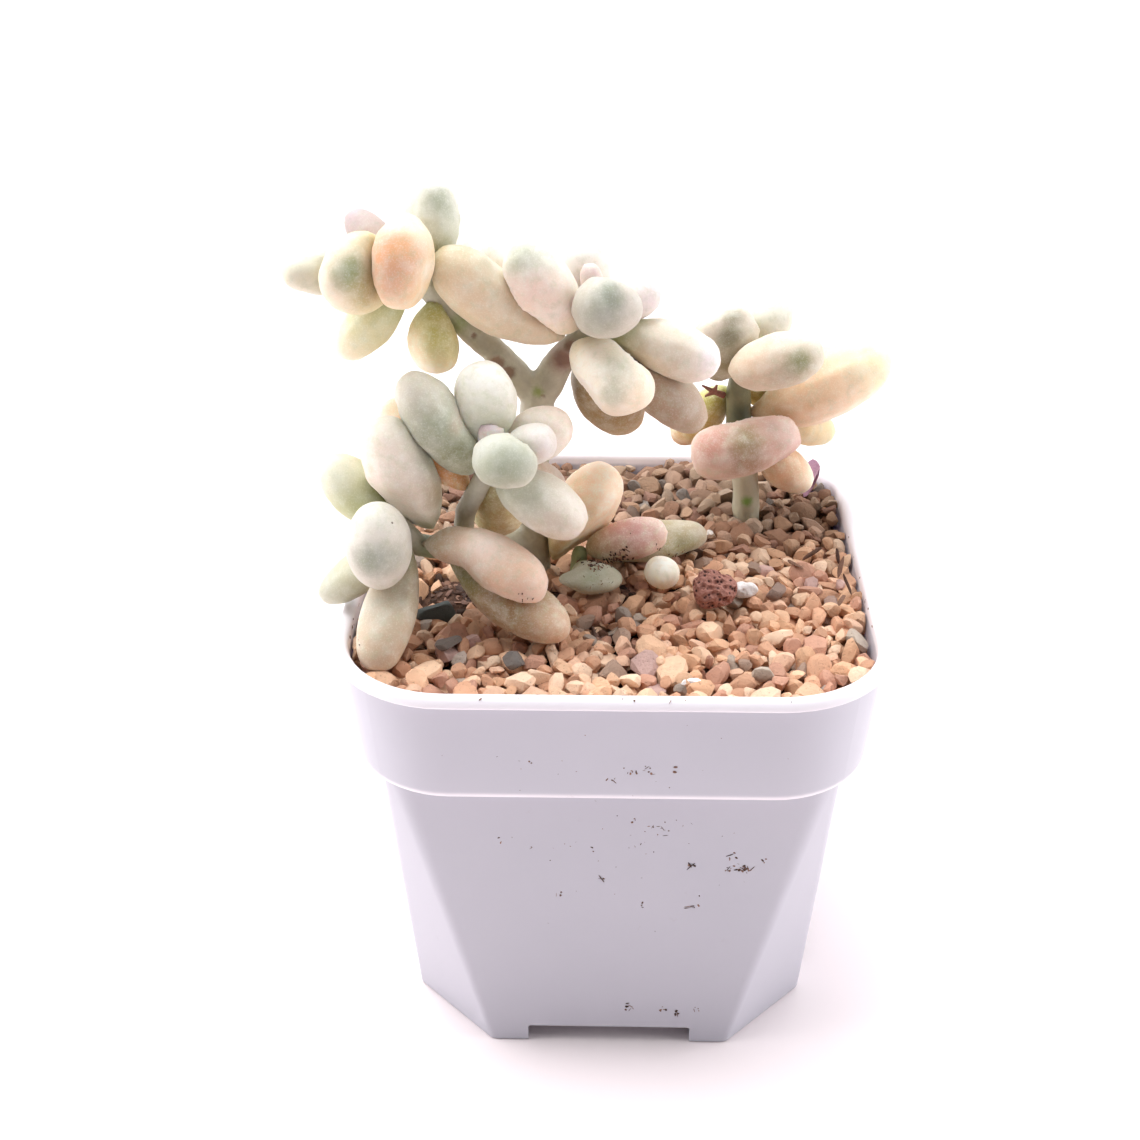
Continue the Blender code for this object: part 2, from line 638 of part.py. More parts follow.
def make_stones():
    lava = material("lava_rock", (0.30, 0.13, 0.11), 0.95)
    perlite = material("perlite", (0.85, 0.82, 0.80), 0.9)
    make_stone("lava_stone", 13.1 * MM, -9.8 * MM, LAVA_SIZE, (1.0, 0.95, 0.9), 4, lava)
    make_stone("perlite_grain", 17.4 * MM, -7.6 * MM, PERLITE_SIZE, (1.1, 0.8, 0.75), 7, perlite)


def make_flower_stub():
    """The dried foot of an old flower stalk, standing out from the right-hand stem."""
    out = np.array((-0.93, -0.33, 0.16))
    start = RIGHT_STEM.point(STUB_AT) + out * (RIGHT_STEM.radius(STUB_AT) + STUB_RADIUS + GAP)
    start = start / MM
    along = out * STUB_LENGTH / MM
    stub = Stem([start, start + along / 2 + (0, 0, 0.2), start + along + (0, 0, 0.9)],
                STUB_RADIUS, 1.3 * STUB_RADIUS)
    add_object("flower_stub", stub.mesh(), material("dry_stalk", (0.28, 0.13, 0.11), 0.8))


LEAF_TONES = {
    "cream": (0.86, 0.80, 0.68),
    "sage": (0.62, 0.68, 0.58),
    "peach": (0.90, 0.66, 0.50),
    "pink": (0.86, 0.70, 0.66),
    "tan": (0.74, 0.64, 0.50),
}


def make_leaves():
    settle_leaves()
    for leaf in LEAVES:
        skin = material("leaf_" + leaf.tone, LEAF_TONES[leaf.tone], 0.5)
        add_object(leaf.name, loft(leaf.rows()), skin)


clear_scene()
make_pot()
make_fill()
make_stones()
make_stems()
make_flower_stub()
make_leaves()
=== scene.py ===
"""The looks of a potted graptopetalum: pot, soil, gravel, stems, leaves and the crumbs on them.

Metres, +Z up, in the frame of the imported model: the pot stands on z = 0, and -Y is the front.
Each section makes one kind of piece, from the pot upwards, with its own sizes and colours.
"""

import json
import math
import random

import bmesh
import bpy
from mathutils import Matrix, Vector, noise
from mathutils.bvhtree import BVHTree


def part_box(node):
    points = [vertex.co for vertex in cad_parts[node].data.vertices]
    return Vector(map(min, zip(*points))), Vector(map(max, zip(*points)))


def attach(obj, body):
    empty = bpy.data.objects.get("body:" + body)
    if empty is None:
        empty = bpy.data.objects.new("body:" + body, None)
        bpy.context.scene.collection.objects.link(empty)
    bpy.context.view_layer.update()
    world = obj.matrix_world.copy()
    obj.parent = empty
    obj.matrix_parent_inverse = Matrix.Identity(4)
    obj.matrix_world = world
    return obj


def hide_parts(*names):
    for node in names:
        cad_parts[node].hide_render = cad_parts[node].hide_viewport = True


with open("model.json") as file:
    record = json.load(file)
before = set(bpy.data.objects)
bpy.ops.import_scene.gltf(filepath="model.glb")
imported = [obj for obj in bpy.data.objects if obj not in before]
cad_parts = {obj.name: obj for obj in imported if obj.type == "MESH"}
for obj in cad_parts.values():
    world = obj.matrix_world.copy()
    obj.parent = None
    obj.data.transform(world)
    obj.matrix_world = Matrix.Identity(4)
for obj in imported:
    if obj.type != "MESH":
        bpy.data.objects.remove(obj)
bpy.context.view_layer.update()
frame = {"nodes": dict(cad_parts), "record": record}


# ---------------------------------------------------------------- the pot
# A square nursery pot, injection moulded in white plastic with a 1 mm wall. It has a rolled lip,
# an upright band, a step, and a body whose corners are cut off more and more towards the foot.
# Its skin is drawn up from the foot ring by ring, and the notches and drain holes are cut last.

MM = 0.001
WALL = 1.0 * MM
LIP_WIDTH = 1.0 * MM           # how far the roll stands out from the band

# The lip's roll from its outer foot over the top to the inner wall: out and down in millimetres.
LIP_PROFILE = [(0.0, 1.6), (0.5, 1.58), (0.85, 1.45), (1.0, 1.22), (0.98, 1.0), (0.84, 0.66),
               (0.64, 0.34), (0.38, 0.1), (0.0, 0.0), (-0.4, 0.04), (-0.75, 0.22), (-0.95, 0.55),
               (-1.0, 1.0)]
LIP_CORNER = 15 * MM
BAND_HEIGHT = 16.5 * MM
BAND_TAPER = 1.6 * MM
BAND_EDGE_ROUND = 1.2 * MM
LEDGE = 3.3 * MM
BODY_TAPER = 1.7 * MM
BODY_CORNER = 4 * MM
CUT_CORNER_ROUND = 1.6 * MM
FOOT_EDGE_HALF = 16.2 * MM
FOOT_HEIGHT = 3 * MM
FOOT_ROUND = 0.25 * MM
NOTCH_WIDTH = 22.4 * MM
NOTCH_HEIGHT = 2.9 * MM
NOTCH_ROUND = 0.4 * MM
DRAIN_RADIUS = 3 * MM
DRAIN_SPREAD = 10 * MM
ARC_STEPS = 7
EIGHTH = math.tan(math.pi / 8)

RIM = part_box("pot")[1].z
LIP_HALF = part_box("pot")[1].x
STEP = RIM - BAND_HEIGHT
BAND_TOP = LIP_HALF - LIP_WIDTH
BAND_FOOT = BAND_TOP - BAND_TAPER
BODY_TOP = BAND_FOOT - LEDGE
BODY_FOOT = BODY_TOP - BODY_TAPER


def only(obj):
    """Make obj the one selected object and the active one."""
    bpy.ops.object.select_all(action="DESELECT")
    obj.select_set(True)
    bpy.context.view_layer.objects.active = obj


def fit(obj, kind, **settings):
    """Put a modifier on obj and apply it."""
    only(obj)
    modifier = obj.modifiers.new(kind.lower(), kind)
    for name, value in settings.items():
        setattr(modifier, name, value)
    bpy.ops.object.modifier_apply(modifier=modifier.name)


def settle(obj, slot, *nodes):
    """Hang a finished piece on the root body and hide the CAD nodes that it stands for; slot is not used.
    """
    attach(obj, "root")
    if nodes:
        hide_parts(*nodes)


def outline(half, edge, corner, z):
    """Eight sides with round corners; edge is half the length of the four main sides."""
    points = []
    cx, cy = half - corner, edge - corner * EIGHTH
    for quarter in range(4):
        turn = Matrix.Rotation(quarter * math.pi / 2, 3, "Z")
        for x, y, start in ((cx, cy, 0.0), (cy, cx, math.pi / 4)):
            for step in range(ARC_STEPS):
                angle = start + step / (ARC_STEPS - 1) * math.pi / 4
                spot = Vector((x + corner * math.cos(angle), y + corner * math.sin(angle), z))
                points.append(turn @ spot)
    return points


def body_outline(z, inset=0.0):
    """The body at this height, or its inner wall if inset is the wall's thickness."""
    share = z / STEP
    half = BODY_FOOT + (BODY_TOP - BODY_FOOT) * share - inset
    corner = CUT_CORNER_ROUND + (BODY_CORNER - CUT_CORNER_ROUND) * share
    top_edge = BODY_TOP - BODY_CORNER * (1 - EIGHTH)
    edge = FOOT_EDGE_HALF + (top_edge - FOOT_EDGE_HALF) * share - inset * EIGHTH
    return outline(half, edge, max(corner - inset, 0.3 * MM), z)


def band_outline(z, inset=0.0):
    """The band at this height; a negative inset stands out from it, as the lip does."""
    half = BAND_FOOT + BAND_TAPER * (z - STEP) / BAND_HEIGHT - inset
    corner = LIP_CORNER - (LIP_HALF - half)
    return outline(half, half - corner * (1 - EIGHTH) - 0.01 * MM, corner, z)


def arc(start, end, steps):
    """Cosine and sine of the angles from start to end, in degrees."""
    for step in range(steps + 1):
        angle = math.radians(start + (end - start) * step / steps)
        yield math.cos(angle), math.sin(angle)


def pot_rings():
    """Outlines from the floor's underside down to the foot, up the outside and down the inside."""
    rings = [body_outline(FOOT_HEIGHT, WALL)]
    for c, s in arc(180, 0, 4):
        rings.append(body_outline(FOOT_ROUND * (1 - s), WALL * (1 - c) / 2))
    rings += [body_outline(STEP * share) for share in (0.1, 0.3, 0.5, 0.7, 0.9, 1.0)]
    for c, s in arc(-90, 0, 5):
        rings.append(band_outline(STEP + BAND_EDGE_ROUND * (1 + s), BAND_EDGE_ROUND * (1 - c)))
    rings += [band_outline(STEP + BAND_HEIGHT * share) for share in (0.3, 0.5, 0.7, 0.88)]
    rings += [band_outline(RIM - down * MM, -out * MM) for out, down in LIP_PROFILE]
    rings += [band_outline(STEP + WALL + BAND_HEIGHT * share, WALL) for share in (0.7, 0.3, 0.0)]
    rings += [body_outline(STEP + WALL, WALL), body_outline(STEP / 2, WALL)]
    rings.append(body_outline(FOOT_HEIGHT + WALL, WALL))
    return rings


def around(point):
    """The point's angle round the pot's middle, from 0 to a full turn."""
    return math.atan2(point.y, point.x) % (2 * math.pi)


def draw_up(obj, rings):
    """Lay the object's one ring of points on rings[0], extrude it to each next ring and cap both ends."""
    only(obj)
    bpy.ops.object.mode_set(mode="EDIT")
    bpy.ops.mesh.select_all(action="SELECT")
    for number, ring in enumerate(rings):
        if number == 1:
            bpy.ops.mesh.edge_face_add()
        if number:
            bpy.ops.mesh.extrude_region_move()
        mesh = bmesh.from_edit_mesh(obj.data)
        chosen = sorted((v for v in mesh.verts if v.select), key=lambda v: around(v.co))
        for vert, spot in zip(chosen, sorted(ring, key=around)):
            vert.co = spot
        bmesh.update_edit_mesh(obj.data)
    bpy.ops.mesh.select_all(action="SELECT")
    bpy.ops.mesh.normals_make_consistent(inside=False)
    bpy.ops.object.mode_set(mode="OBJECT")


rings = pot_rings()
bpy.ops.mesh.primitive_circle_add(vertices=len(rings[0]), radius=BODY_FOOT)
pot = bpy.context.object
pot.name = "nursery_pot"
draw_up(pot, rings)

cutters = []
for size in ((3 * LIP_HALF, NOTCH_WIDTH), (NOTCH_WIDTH, 3 * LIP_HALF)):
    bpy.ops.mesh.primitive_cube_add(size=1, scale=(*size, 2 * NOTCH_HEIGHT))
    bpy.ops.object.transform_apply(location=True, rotation=True, scale=True)
    fit(bpy.context.object, "BEVEL", width=NOTCH_ROUND, segments=3)
    cutters.append(bpy.context.object)
for x, y in ((0, 0), (-1, -1), (-1, 1), (1, -1), (1, 1)):
    bpy.ops.mesh.primitive_cylinder_add(vertices=40, radius=DRAIN_RADIUS, depth=4 * WALL,
                                        location=(x * DRAIN_SPREAD, y * DRAIN_SPREAD, FOOT_HEIGHT))
    cutters.append(bpy.context.object)
for cut in cutters:
    fit(pot, "BOOLEAN", operation="DIFFERENCE", solver="EXACT", object=cut)
    bpy.data.objects.remove(cut)
only(pot)
bpy.ops.object.shade_smooth_by_angle(angle=math.radians(32))


class Number:
    """A number, colour or vector inside a material. Sums on numbers add their Math nodes."""

    def __init__(self, finish, output):
        self.finish = finish
        self.output = output

    def maths(self, operation, first, second=0.0):
        return self.finish.node("ShaderNodeMath", {"operation": operation}, {0: first, 1: second})

    def __add__(self, other):
        return self.maths("ADD", self, other)

    __radd__ = __add__

    def __sub__(self, other):
        return self.maths("SUBTRACT", self, other)

    def __rsub__(self, other):
        return self.maths("SUBTRACT", other, self)

    def __mul__(self, other):
        return self.maths("MULTIPLY", self, other)

    __rmul__ = __mul__

    def rise(self, low, high):
        """0 below low, 1 above high and a smooth way up between them."""
        return self.finish.node("ShaderNodeMapRange", {"interpolation_type": "SMOOTHSTEP"},
                                {"Value": self, "From Min": low, "From Max": high})

    def fall(self, low, high):
        return 1 - self.rise(low, high)


class Finish:
    """A material in the making, on one Principled shader."""

    def __init__(self, name, roughness, **sockets):
        self.material = bpy.data.materials.new(name)
        self.material.use_nodes = True
        self.nodes = self.material.node_tree.nodes
        self.links = self.material.node_tree.links
        self.shader = self.nodes["Principled BSDF"]
        self.put("Roughness", roughness)
        for socket, value in sockets.items():
            self.put(socket.replace("_", " "), value)

    def feed(self, socket, value):
        if isinstance(value, Number):
            self.links.new(value.output, socket)
        else:
            socket.default_value = value

    def put(self, socket, value):
        """Set or link one socket of the shader."""
        self.feed(self.shader.inputs[socket], value)

    def node(self, kind, settings=None, inputs=None, out=0):
        """Add a node, set it up, feed its sockets and give one of its outputs."""
        made = self.nodes.new(kind)
        for name, value in (settings or {}).items():
            setattr(made, name, value)
        for name, value in (inputs or {}).items():
            self.feed(made.inputs[name], value)
        return Number(self, made.outputs[out])

    def place(self):
        return self.node("ShaderNodeTexCoord", out="Object")

    def attribute(self, name, out="Fac"):
        return self.node("ShaderNodeAttribute", {"attribute_name": name}, out=out)

    def cloud(self, place, scale, detail=2.0, rough=0.5):
        """Soft noise from 0 to 1; scale is patches per metre."""
        return self.node("ShaderNodeTexNoise", None,
                         {"Vector": place, "Scale": scale, "Detail": detail, "Roughness": rough})

    def cells(self, place, scale, out="Distance"):
        """Distance to the middle of the nearest cell, or that cell's own random colour."""
        return self.node("ShaderNodeTexVoronoi", None, {"Vector": place, "Scale": scale}, out=out)

    def blend(self, share, low, high):
        """The colour that goes from low to high as share goes from 0 to 1."""
        return self.node("ShaderNodeMix", {"data_type": "RGBA"}, {0: share, 6: low, 7: high}, out=2)

    def shade(self, colour, share):
        """A colour made darker or lighter by a number."""
        grey = self.node("ShaderNodeCombineColor", None, {0: share, 1: share, 2: share})
        return self.node("ShaderNodeMix", {"data_type": "RGBA", "blend_type": "MULTIPLY"},
                         {0: 1.0, 6: colour, 7: grey}, out=2)

    def from_point(self, place, point):
        """Distance in metres from a fixed point."""
        return self.node("ShaderNodeVectorMath", {"operation": "DISTANCE"},
                         {0: place, 1: tuple(point)}, out="Value")

    def bump(self, height, depth):
        """Roughen the surface: height from 0 to 1 stands depth metres tall."""
        return self.node("ShaderNodeBump", None,
                         {"Strength": 1.0, "Distance": depth, "Height": height})


def paint(code):
    """A colour from its six-digit code, as the shader wants it."""
    shares = [int(code[i:i + 2], 16) / 255 for i in (0, 2, 4)]
    return (*[s / 12.92 if s < 0.04045 else ((s + 0.055) / 1.055) ** 2.4 for s in shares], 1.0)


def pot_plastic():
    plastic = Finish("white_plastic", 0.38, Subsurface_Weight=0.12, Subsurface_Scale=0.002,
                     Subsurface_Radius=(1.0, 0.9, 1.0), IOR=1.46)
    place = plastic.place()
    drift = plastic.cloud(place, 60, detail=3)
    colour = plastic.blend(drift, paint("c1c0ca"), paint("c8c6d0"))
    height = plastic.node("ShaderNodeSeparateXYZ", None, {0: place}, out="Z")
    # The lip and the band's lower edge are painted lighter: a painted highlight where the light falls on
    # them.
    lip_highlight = height.rise(RIM - 2.0 * MM, RIM - 1.3 * MM)
    band_edge_highlight = (height.rise(STEP - 0.1 * MM, STEP + 0.3 * MM)
                 * height.fall(STEP + 0.7 * MM, STEP + 1.5 * MM))
    colour = plastic.blend(lip_highlight + band_edge_highlight, colour, paint("f2edf3"))
    grime_zone = plastic.cloud(place, 45, detail=2).rise(0.52, 0.66)
    grime = plastic.cloud(place, 420, detail=5, rough=0.7).rise(0.62, 0.80) * grime_zone * 0.25
    colour = plastic.blend(grime, colour, paint("9c8e8c"))
    plastic.put("Base Color", colour)
    plastic.put("Roughness", 0.34 + 0.12 * drift + 0.3 * grime)
    wave = plastic.cloud(place, 90, detail=1)
    grain = plastic.cloud(place, 2600, detail=2)
    plastic.put("Normal", plastic.bump(wave + 0.03 * grain, 0.12 * MM))
    return plastic.material


pot.data.materials.append(pot_plastic())
settle(pot, "pot_plastic", "pot")


# ---------------------------------------------------------------- potting mix and gravel bed
# Dark, peaty potting mix fills the pot. On it lies a bed of crushed fired-clay grains: its body is
# one rough cushion, and the loose grains that show are dropped on it in the next section.

GRAVEL_TOP = RIM - 2.2 * MM
BED_DROP = 2.9 * MM            # the bed's rough top lies this far under the gravel surface
BED_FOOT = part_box("gravel")[0].z
CLEAR = 0.3 * MM
BED_STEPS = 110
SOIL_MOUND = 1.9 * MM          # how much higher the bed stands where its soil is bare

# Bare soil shows here between the grains: x, y and radius in millimetres.
SOIL_PATCHES = [(-20, -5, 7), (-9, -5.5, 3.5), (-2, -15.5, 2.2), (-14, 3, 5), (-4, -1, 3), (2, -4.5, 2)]


def inside_pot(x, y, inset, z=GRAVEL_TOP):
    """How far a point is inside the band's inner wall less inset; negative outside."""
    half = BAND_FOOT + BAND_TAPER * (z - STEP) / BAND_HEIGHT - WALL - inset
    corner = LIP_CORNER - (LIP_HALF - half)
    dx, dy = abs(x) - (half - corner), abs(y) - (half - corner)
    if dx > 0 and dy > 0:
        return corner - math.hypot(dx, dy)
    return corner - max(dx, dy)


def soil_share(x, y):
    """1 in the middle of a bare patch, 0 away from every patch."""
    most = 0.0
    for cx, cy, radius in SOIL_PATCHES:
        away = math.hypot(x / MM - cx, y / MM - cy) / radius
        away += 0.35 * noise.noise(Vector((x, y, 0.0)) / (2.5 * MM))
        most = max(most, min(1.0, 1.6 - 1.3 * away))
    return max(0.0, most)


def bed_height(x, y):
    """The bed's rough top, raised where its soil is bare."""
    spot = Vector((x, y, 0.0))
    rough = 0.35 * noise.noise(spot / (3 * MM)) + 0.25 * noise.noise(spot / (0.9 * MM))
    return GRAVEL_TOP - BED_DROP + rough * MM + SOIL_MOUND * soil_share(x, y)


bpy.ops.mesh.primitive_grid_add(x_subdivisions=BED_STEPS, y_subdivisions=BED_STEPS, size=2 * LIP_HALF)
bed = bpy.context.object
bed.name = "gravel_bed"
bpy.ops.object.mode_set(mode="EDIT")
bpy.ops.mesh.select_all(action="DESELECT")
mesh = bmesh.from_edit_mesh(bed.data)
for vert in mesh.verts:
    vert.select = inside_pot(vert.co.x, vert.co.y, CLEAR) < 0
mesh.select_flush_mode()
bmesh.update_edit_mesh(bed.data)
bpy.ops.mesh.delete(type="VERT")
mesh = bmesh.from_edit_mesh(bed.data)
for vert in mesh.verts:
    vert.co.z = bed_height(vert.co.x, vert.co.y)
bmesh.update_edit_mesh(bed.data)
bpy.ops.mesh.select_all(action="SELECT")
bpy.ops.mesh.extrude_region_move()
bpy.ops.transform.resize(value=(1, 1, 0), center_override=(0, 0, BED_FOOT))
bpy.ops.mesh.select_all(action="SELECT")
bpy.ops.mesh.normals_make_consistent(inside=False)
bpy.ops.object.mode_set(mode="OBJECT")
bpy.ops.object.shade_smooth()


def soil_finish(name):
    soil = Finish(name, 0.95)
    place = soil.place()
    lumps = soil.cloud(place, 1500, detail=5, rough=0.65)
    fibre = soil.cloud(place, 5200, detail=3, rough=0.7)
    colour = soil.blend(lumps, paint("2b1a12"), paint("6b4836"))
    colour = soil.blend(fibre.rise(0.56, 0.72), colour, paint("8f6a50"))
    soil.put("Base Color", colour)
    soil.put("Normal", soil.bump(lumps + 0.4 * fibre, 0.5 * MM))
    return soil.material


peat = soil_finish("peat")
bed.data.materials.append(peat)
settle(bed, "akadama", "gravel")
mix = frame["nodes"]["potting_mix"]
mix.data.materials.clear()
mix.data.materials.append(peat)


# ---------------------------------------------------------------- loose grains
# Crushed akadama, 1.5 to 5 mm across: broken chips of tan fired clay with worn corners. Each is one
# ball cut by flat faces, and they are dropped one by one, so each lies on those below it, clear of
# the stems and of the leaves that lie in the gravel.

GRAIN_SEED = 11
DROPS = 4600
TRIES = 9                      # places that a dropped grain tries, to find the lowest
CUTS = 7                       # flat faces on each grain
GRAIN_RADIUS = 1.22            # the usual, the smallest and the largest, in millimetres
SMALLEST = 0.7
LARGEST = 2.2
RADIUS_SPREAD = 0.33
PACKING = 0.88                 # how near two grains' middles may come, as a share of their radii
SHOWN_DEPTH = 3.4 * MM         # grains that lie deeper than this under the top are left out
GRAIN_TILT = 0.5               # how far the grains lean, in radians
ODD_SHARE = 0.07
GRAIN_SIZE = 1.16              # a cut ball is smaller than the grain it stands for
CRUMB_SIZE = 0.85              # soil crumbs among the grains are smaller
SHADE_FROM = -2 * MM            # from here to the rear the gravel is painted darker, a painted shade under the plants
SHADE_LENGTH = 20 * MM
SHADE_DARKER = 0.55
GRAIN_COLOURS = ["dcb292", "d2a584", "dfba9c", "cc9c7e", "dbb297", "c7987b", "bf907a", "e3c3a8"]
ODD_COLOURS = ["a58a7e", "ac9d92", "9a8070", "b3a496", "94857a", "c7a49b"]
CRUMB_COLOURS = ["3a261b", "4a3022", "2c1c14", "5c3d2b", "6f4c36"]


def surface_of(objects):
    """The skins of some objects as one tree that finds the nearest point on them."""
    points, faces = [], []
    for obj in objects:
        first = len(points)
        points += [v.co.copy() for v in obj.data.vertices]
        faces += [[first + i for i in face.vertices] for face in obj.data.polygons]
    return BVHTree.FromPolygons(points, faces)


BELOW = ("pot", "potting_mix", "gravel")
barrier = surface_of(node for name, node in frame["nodes"].items() if name not in BELOW)


def gravel_level(x, y):
    """Where the tops of the uppermost grains come to."""
    spot = Vector((x, y, 5.0)) / (11 * MM)
    heap = max(0.0, x + y) / (2 * BAND_TOP)
    return GRAVEL_TOP + (0.75 + 0.5 * noise.noise(spot) + 1.1 * heap) * MM - 1.2 * MM * soil_share(x, y)


class Grain:
    def __init__(self, x, y, z, radius):
        self.x, self.y, self.z, self.radius = x, y, z, radius


shelves = {}                   # grains by the square they lie in
SHELF = 5 * MM


def near(x, y):
    """The grains in this square and the eight round it."""
    column, row = int(x // SHELF), int(y // SHELF)
    for i in (-1, 0, 1):
        for j in (-1, 0, 1):
            yield from shelves.get((column + i, row + j), ())


def rest_height(x, y, radius):
    """How high a grain's middle stays if it comes to lie here, on the bed or on other grains."""
    height = bed_height(x, y) + 0.5 * radius
    for other in near(x, y):
        flat = math.hypot(x - other.x, y - other.y)
        reach = PACKING * (radius + other.radius)
        if flat < reach:
            height = max(height, other.z + 0.8 * math.sqrt(reach * reach - flat * flat))
    return height


def drop(radius, draw):
    """Let one grain roll to the lowest of a few places near a random one."""
    half = BAND_TOP
    x, y = draw.uniform(-half, half), draw.uniform(-half, half)
    best = None
    for attempt in range(TRIES):
        tx = x + draw.uniform(-1.4, 1.4) * radius
        ty = y + draw.uniform(-1.4, 1.4) * radius
        if inside_pot(tx, ty, 0.8 * radius) < 0:
            continue
        height = rest_height(tx, ty, radius)
        if best is None or height < best[2]:
            best = (tx, ty, height)
    if best is None or best[2] + 0.7 * radius > gravel_level(best[0], best[1]):
        return None
    if barrier.find_nearest(Vector(best), 0.72 * radius)[0] is not None:
        return None
    return Grain(*best, radius)


def chip(ball, draw, stretch):
    """Cut a ball's points with random flat faces and stretch it."""
    planes = []
    for cut in range(CUTS):
        direction = Vector((draw.gauss(0, 1), draw.gauss(0, 1), draw.gauss(0, 1))).normalized()
        planes.append((direction, draw.uniform(0.42, 0.74)))
    points = []
    for spot in ball:
        spot = spot.copy()
        for direction, level in planes:
            over = spot.dot(direction) - level
            if over > 0:
                spot -= over * direction
        points.append(Vector((spot.x * stretch[0], spot.y * stretch[1], spot.z * stretch[2])))
    return points


def keep_inside(spot):
    """Push a point that stands in the pot's wall back to the wall's inner face."""
    over = 0.15 * MM - inside_pot(spot.x, spot.y, 0.0)
    if over > 0:
        share = 1 - over / math.hypot(spot.x, spot.y)
        spot = Vector((spot.x * share, spot.y * share, spot.z))
    return spot


def heap_up(name, lumps, slot, *nodes):
    """One mesh of many lumps, each given as its points, faces and colour."""
    points, faces, colours = [], [], []
    for spots, lump_faces, colour in lumps:
        first = len(points)
        points += spots
        faces += [[first + i for i in face] for face in lump_faces]
        colours += [c for spot in spots for c in colour]
    mesh = bpy.data.meshes.new(name)
    mesh.from_pydata(points, [], faces)
    tint = mesh.attributes.new("tint", "FLOAT_COLOR", "POINT")
    tint.data.foreach_set("color", colours)
    obj = bpy.data.objects.new(name, mesh)
    bpy.context.scene.collection.objects.link(obj)
    only(obj)
    bpy.ops.object.shade_smooth_by_angle(angle=math.radians(26))
    settle(obj, slot, *nodes)
    return obj


def ball_shape(subdivisions):
    bpy.ops.mesh.primitive_ico_sphere_add(subdivisions=subdivisions, radius=1)
    ball = bpy.context.object
    points = [v.co.copy() for v in ball.data.vertices]
    faces = [list(face.vertices) for face in ball.data.polygons]
    bpy.data.objects.remove(ball)
    return points, faces


def speckled(name, slot_roughness, grain_scale, depth, spread):
    """A dry mineral finish over each lump's own tint, darkened in its pores by painted shade."""
    stone = Finish(name, slot_roughness)
    place = stone.place()
    tint = stone.attribute("tint", out="Color")
    patch = stone.cloud(place, grain_scale * 0.35, detail=3)
    fine = stone.cloud(place, grain_scale, detail=5, rough=0.7)
    colour = stone.shade(tint, 1 - spread + 2 * spread * patch)
    # The low spots of the fine bump are darkened: painted shade in the pores.
    pore_shade = fine.fall(0.30, 0.42)
    stone.put("Base Color", stone.shade(colour, 1 - 0.45 * pore_shade))
    stone.put("Normal", stone.bump(fine + 0.5 * patch, depth))
    return stone.material


draw = random.Random(GRAIN_SEED)
ball_points, ball_faces = ball_shape(2)
grains = []
for number in range(DROPS):
    radius = min(LARGEST, max(SMALLEST, draw.lognormvariate(math.log(GRAIN_RADIUS), RADIUS_SPREAD))) * MM
    grain = drop(radius, draw)
    if grain:
        grains.append(grain)
        shelves.setdefault((int(grain.x // SHELF), int(grain.y // SHELF)), []).append(grain)

lumps = []
for grain in grains:
    if grain.z + grain.radius < gravel_level(grain.x, grain.y) - SHOWN_DEPTH:
        continue
    bare = soil_share(grain.x, grain.y)
    if draw.random() < 1.3 * bare - 0.2:
        colour = draw.choice(CRUMB_COLOURS)
    elif draw.random() < ODD_SHARE:
        colour = draw.choice(ODD_COLOURS)
    else:
        colour = draw.choice(GRAIN_COLOURS)
    stretch = (draw.uniform(1.1, 1.6), draw.uniform(0.9, 1.2), draw.uniform(0.75, 1.05))
    size = grain.radius * (CRUMB_SIZE if colour in CRUMB_COLOURS else GRAIN_SIZE)
    turn = Matrix.Rotation(draw.uniform(0, 2 * math.pi), 3, "Z")
    for axis in ("X", "Y"):
        turn = turn @ Matrix.Rotation(draw.gauss(0, GRAIN_TILT), 3, axis)
    middle = Vector((grain.x, grain.y, grain.z))
    spots = [keep_inside(middle + turn @ (size * p)) for p in chip(ball_points, draw, stretch)]
    # Towards the rear each grain's colour is darkened: a painted shade under the plants.
    rear_shade = min(1.0, max(0.0, (grain.y - SHADE_FROM) / SHADE_LENGTH))
    light = draw.uniform(0.98, 1.26) * (1 - SHADE_DARKER * rear_shade)
    lumps.append((spots, ball_faces, [min(1.0, c * light) for c in paint(colour)[:3]] + [1.0]))
loose = heap_up("akadama_grains", lumps, "akadama")
fired_clay = speckled("fired_clay", 0.9, 2600, 0.22 * MM, 0.16)
loose.data.materials.append(fired_clay)


# ---------------------------------------------------------------- stones on the gravel
# A lump of red-brown lava, full of holes, and a white grain of perlite lie on top.

def lava_finish():
    lava = Finish("lava", 0.95)
    place = lava.place()
    pits = lava.cells(place, 1500)
    fine = lava.cloud(place, 4200, detail=4, rough=0.7)
    # The middles of the pits are painted near black: painted shade inside the holes.
    hole_shade = pits.fall(0.12, 0.42)
    colour = lava.blend(fine, paint("8a5248"), paint("cf9686"))
    lava.put("Base Color", lava.blend(hole_shade, colour, paint("3a1c18")))
    lava.put("Normal", lava.bump(pits + 0.5 * fine, 0.5 * MM))
    return lava.material


def rock(name, node, slot, subdivisions, pit_size, pit_depth, lump_size, lump_depth):
    """A ball in a CAD stone's box, broken up by lumps and pitted."""
    low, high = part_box(node)
    bpy.ops.mesh.primitive_ico_sphere_add(subdivisions=subdivisions, radius=1)
    stone = bpy.context.object
    stone.name = name
    middle, half = (low + high) / 2, (high - low) / 2
    for vert in stone.data.vertices:
        out = vert.co.normalized()
        spot = Vector((out.x * half.x, out.y * half.y, out.z * half.z))
        lump = noise.noise((middle + spot) / lump_size) * lump_depth
        pit = noise.voronoi((middle + spot) / pit_size)[0][0]
        vert.co = middle + spot + out * (lump - pit_depth * max(0.0, 0.55 - pit) * 2)
    only(stone)
    bpy.ops.object.shade_smooth()
    settle(stone, slot, node)
    return stone


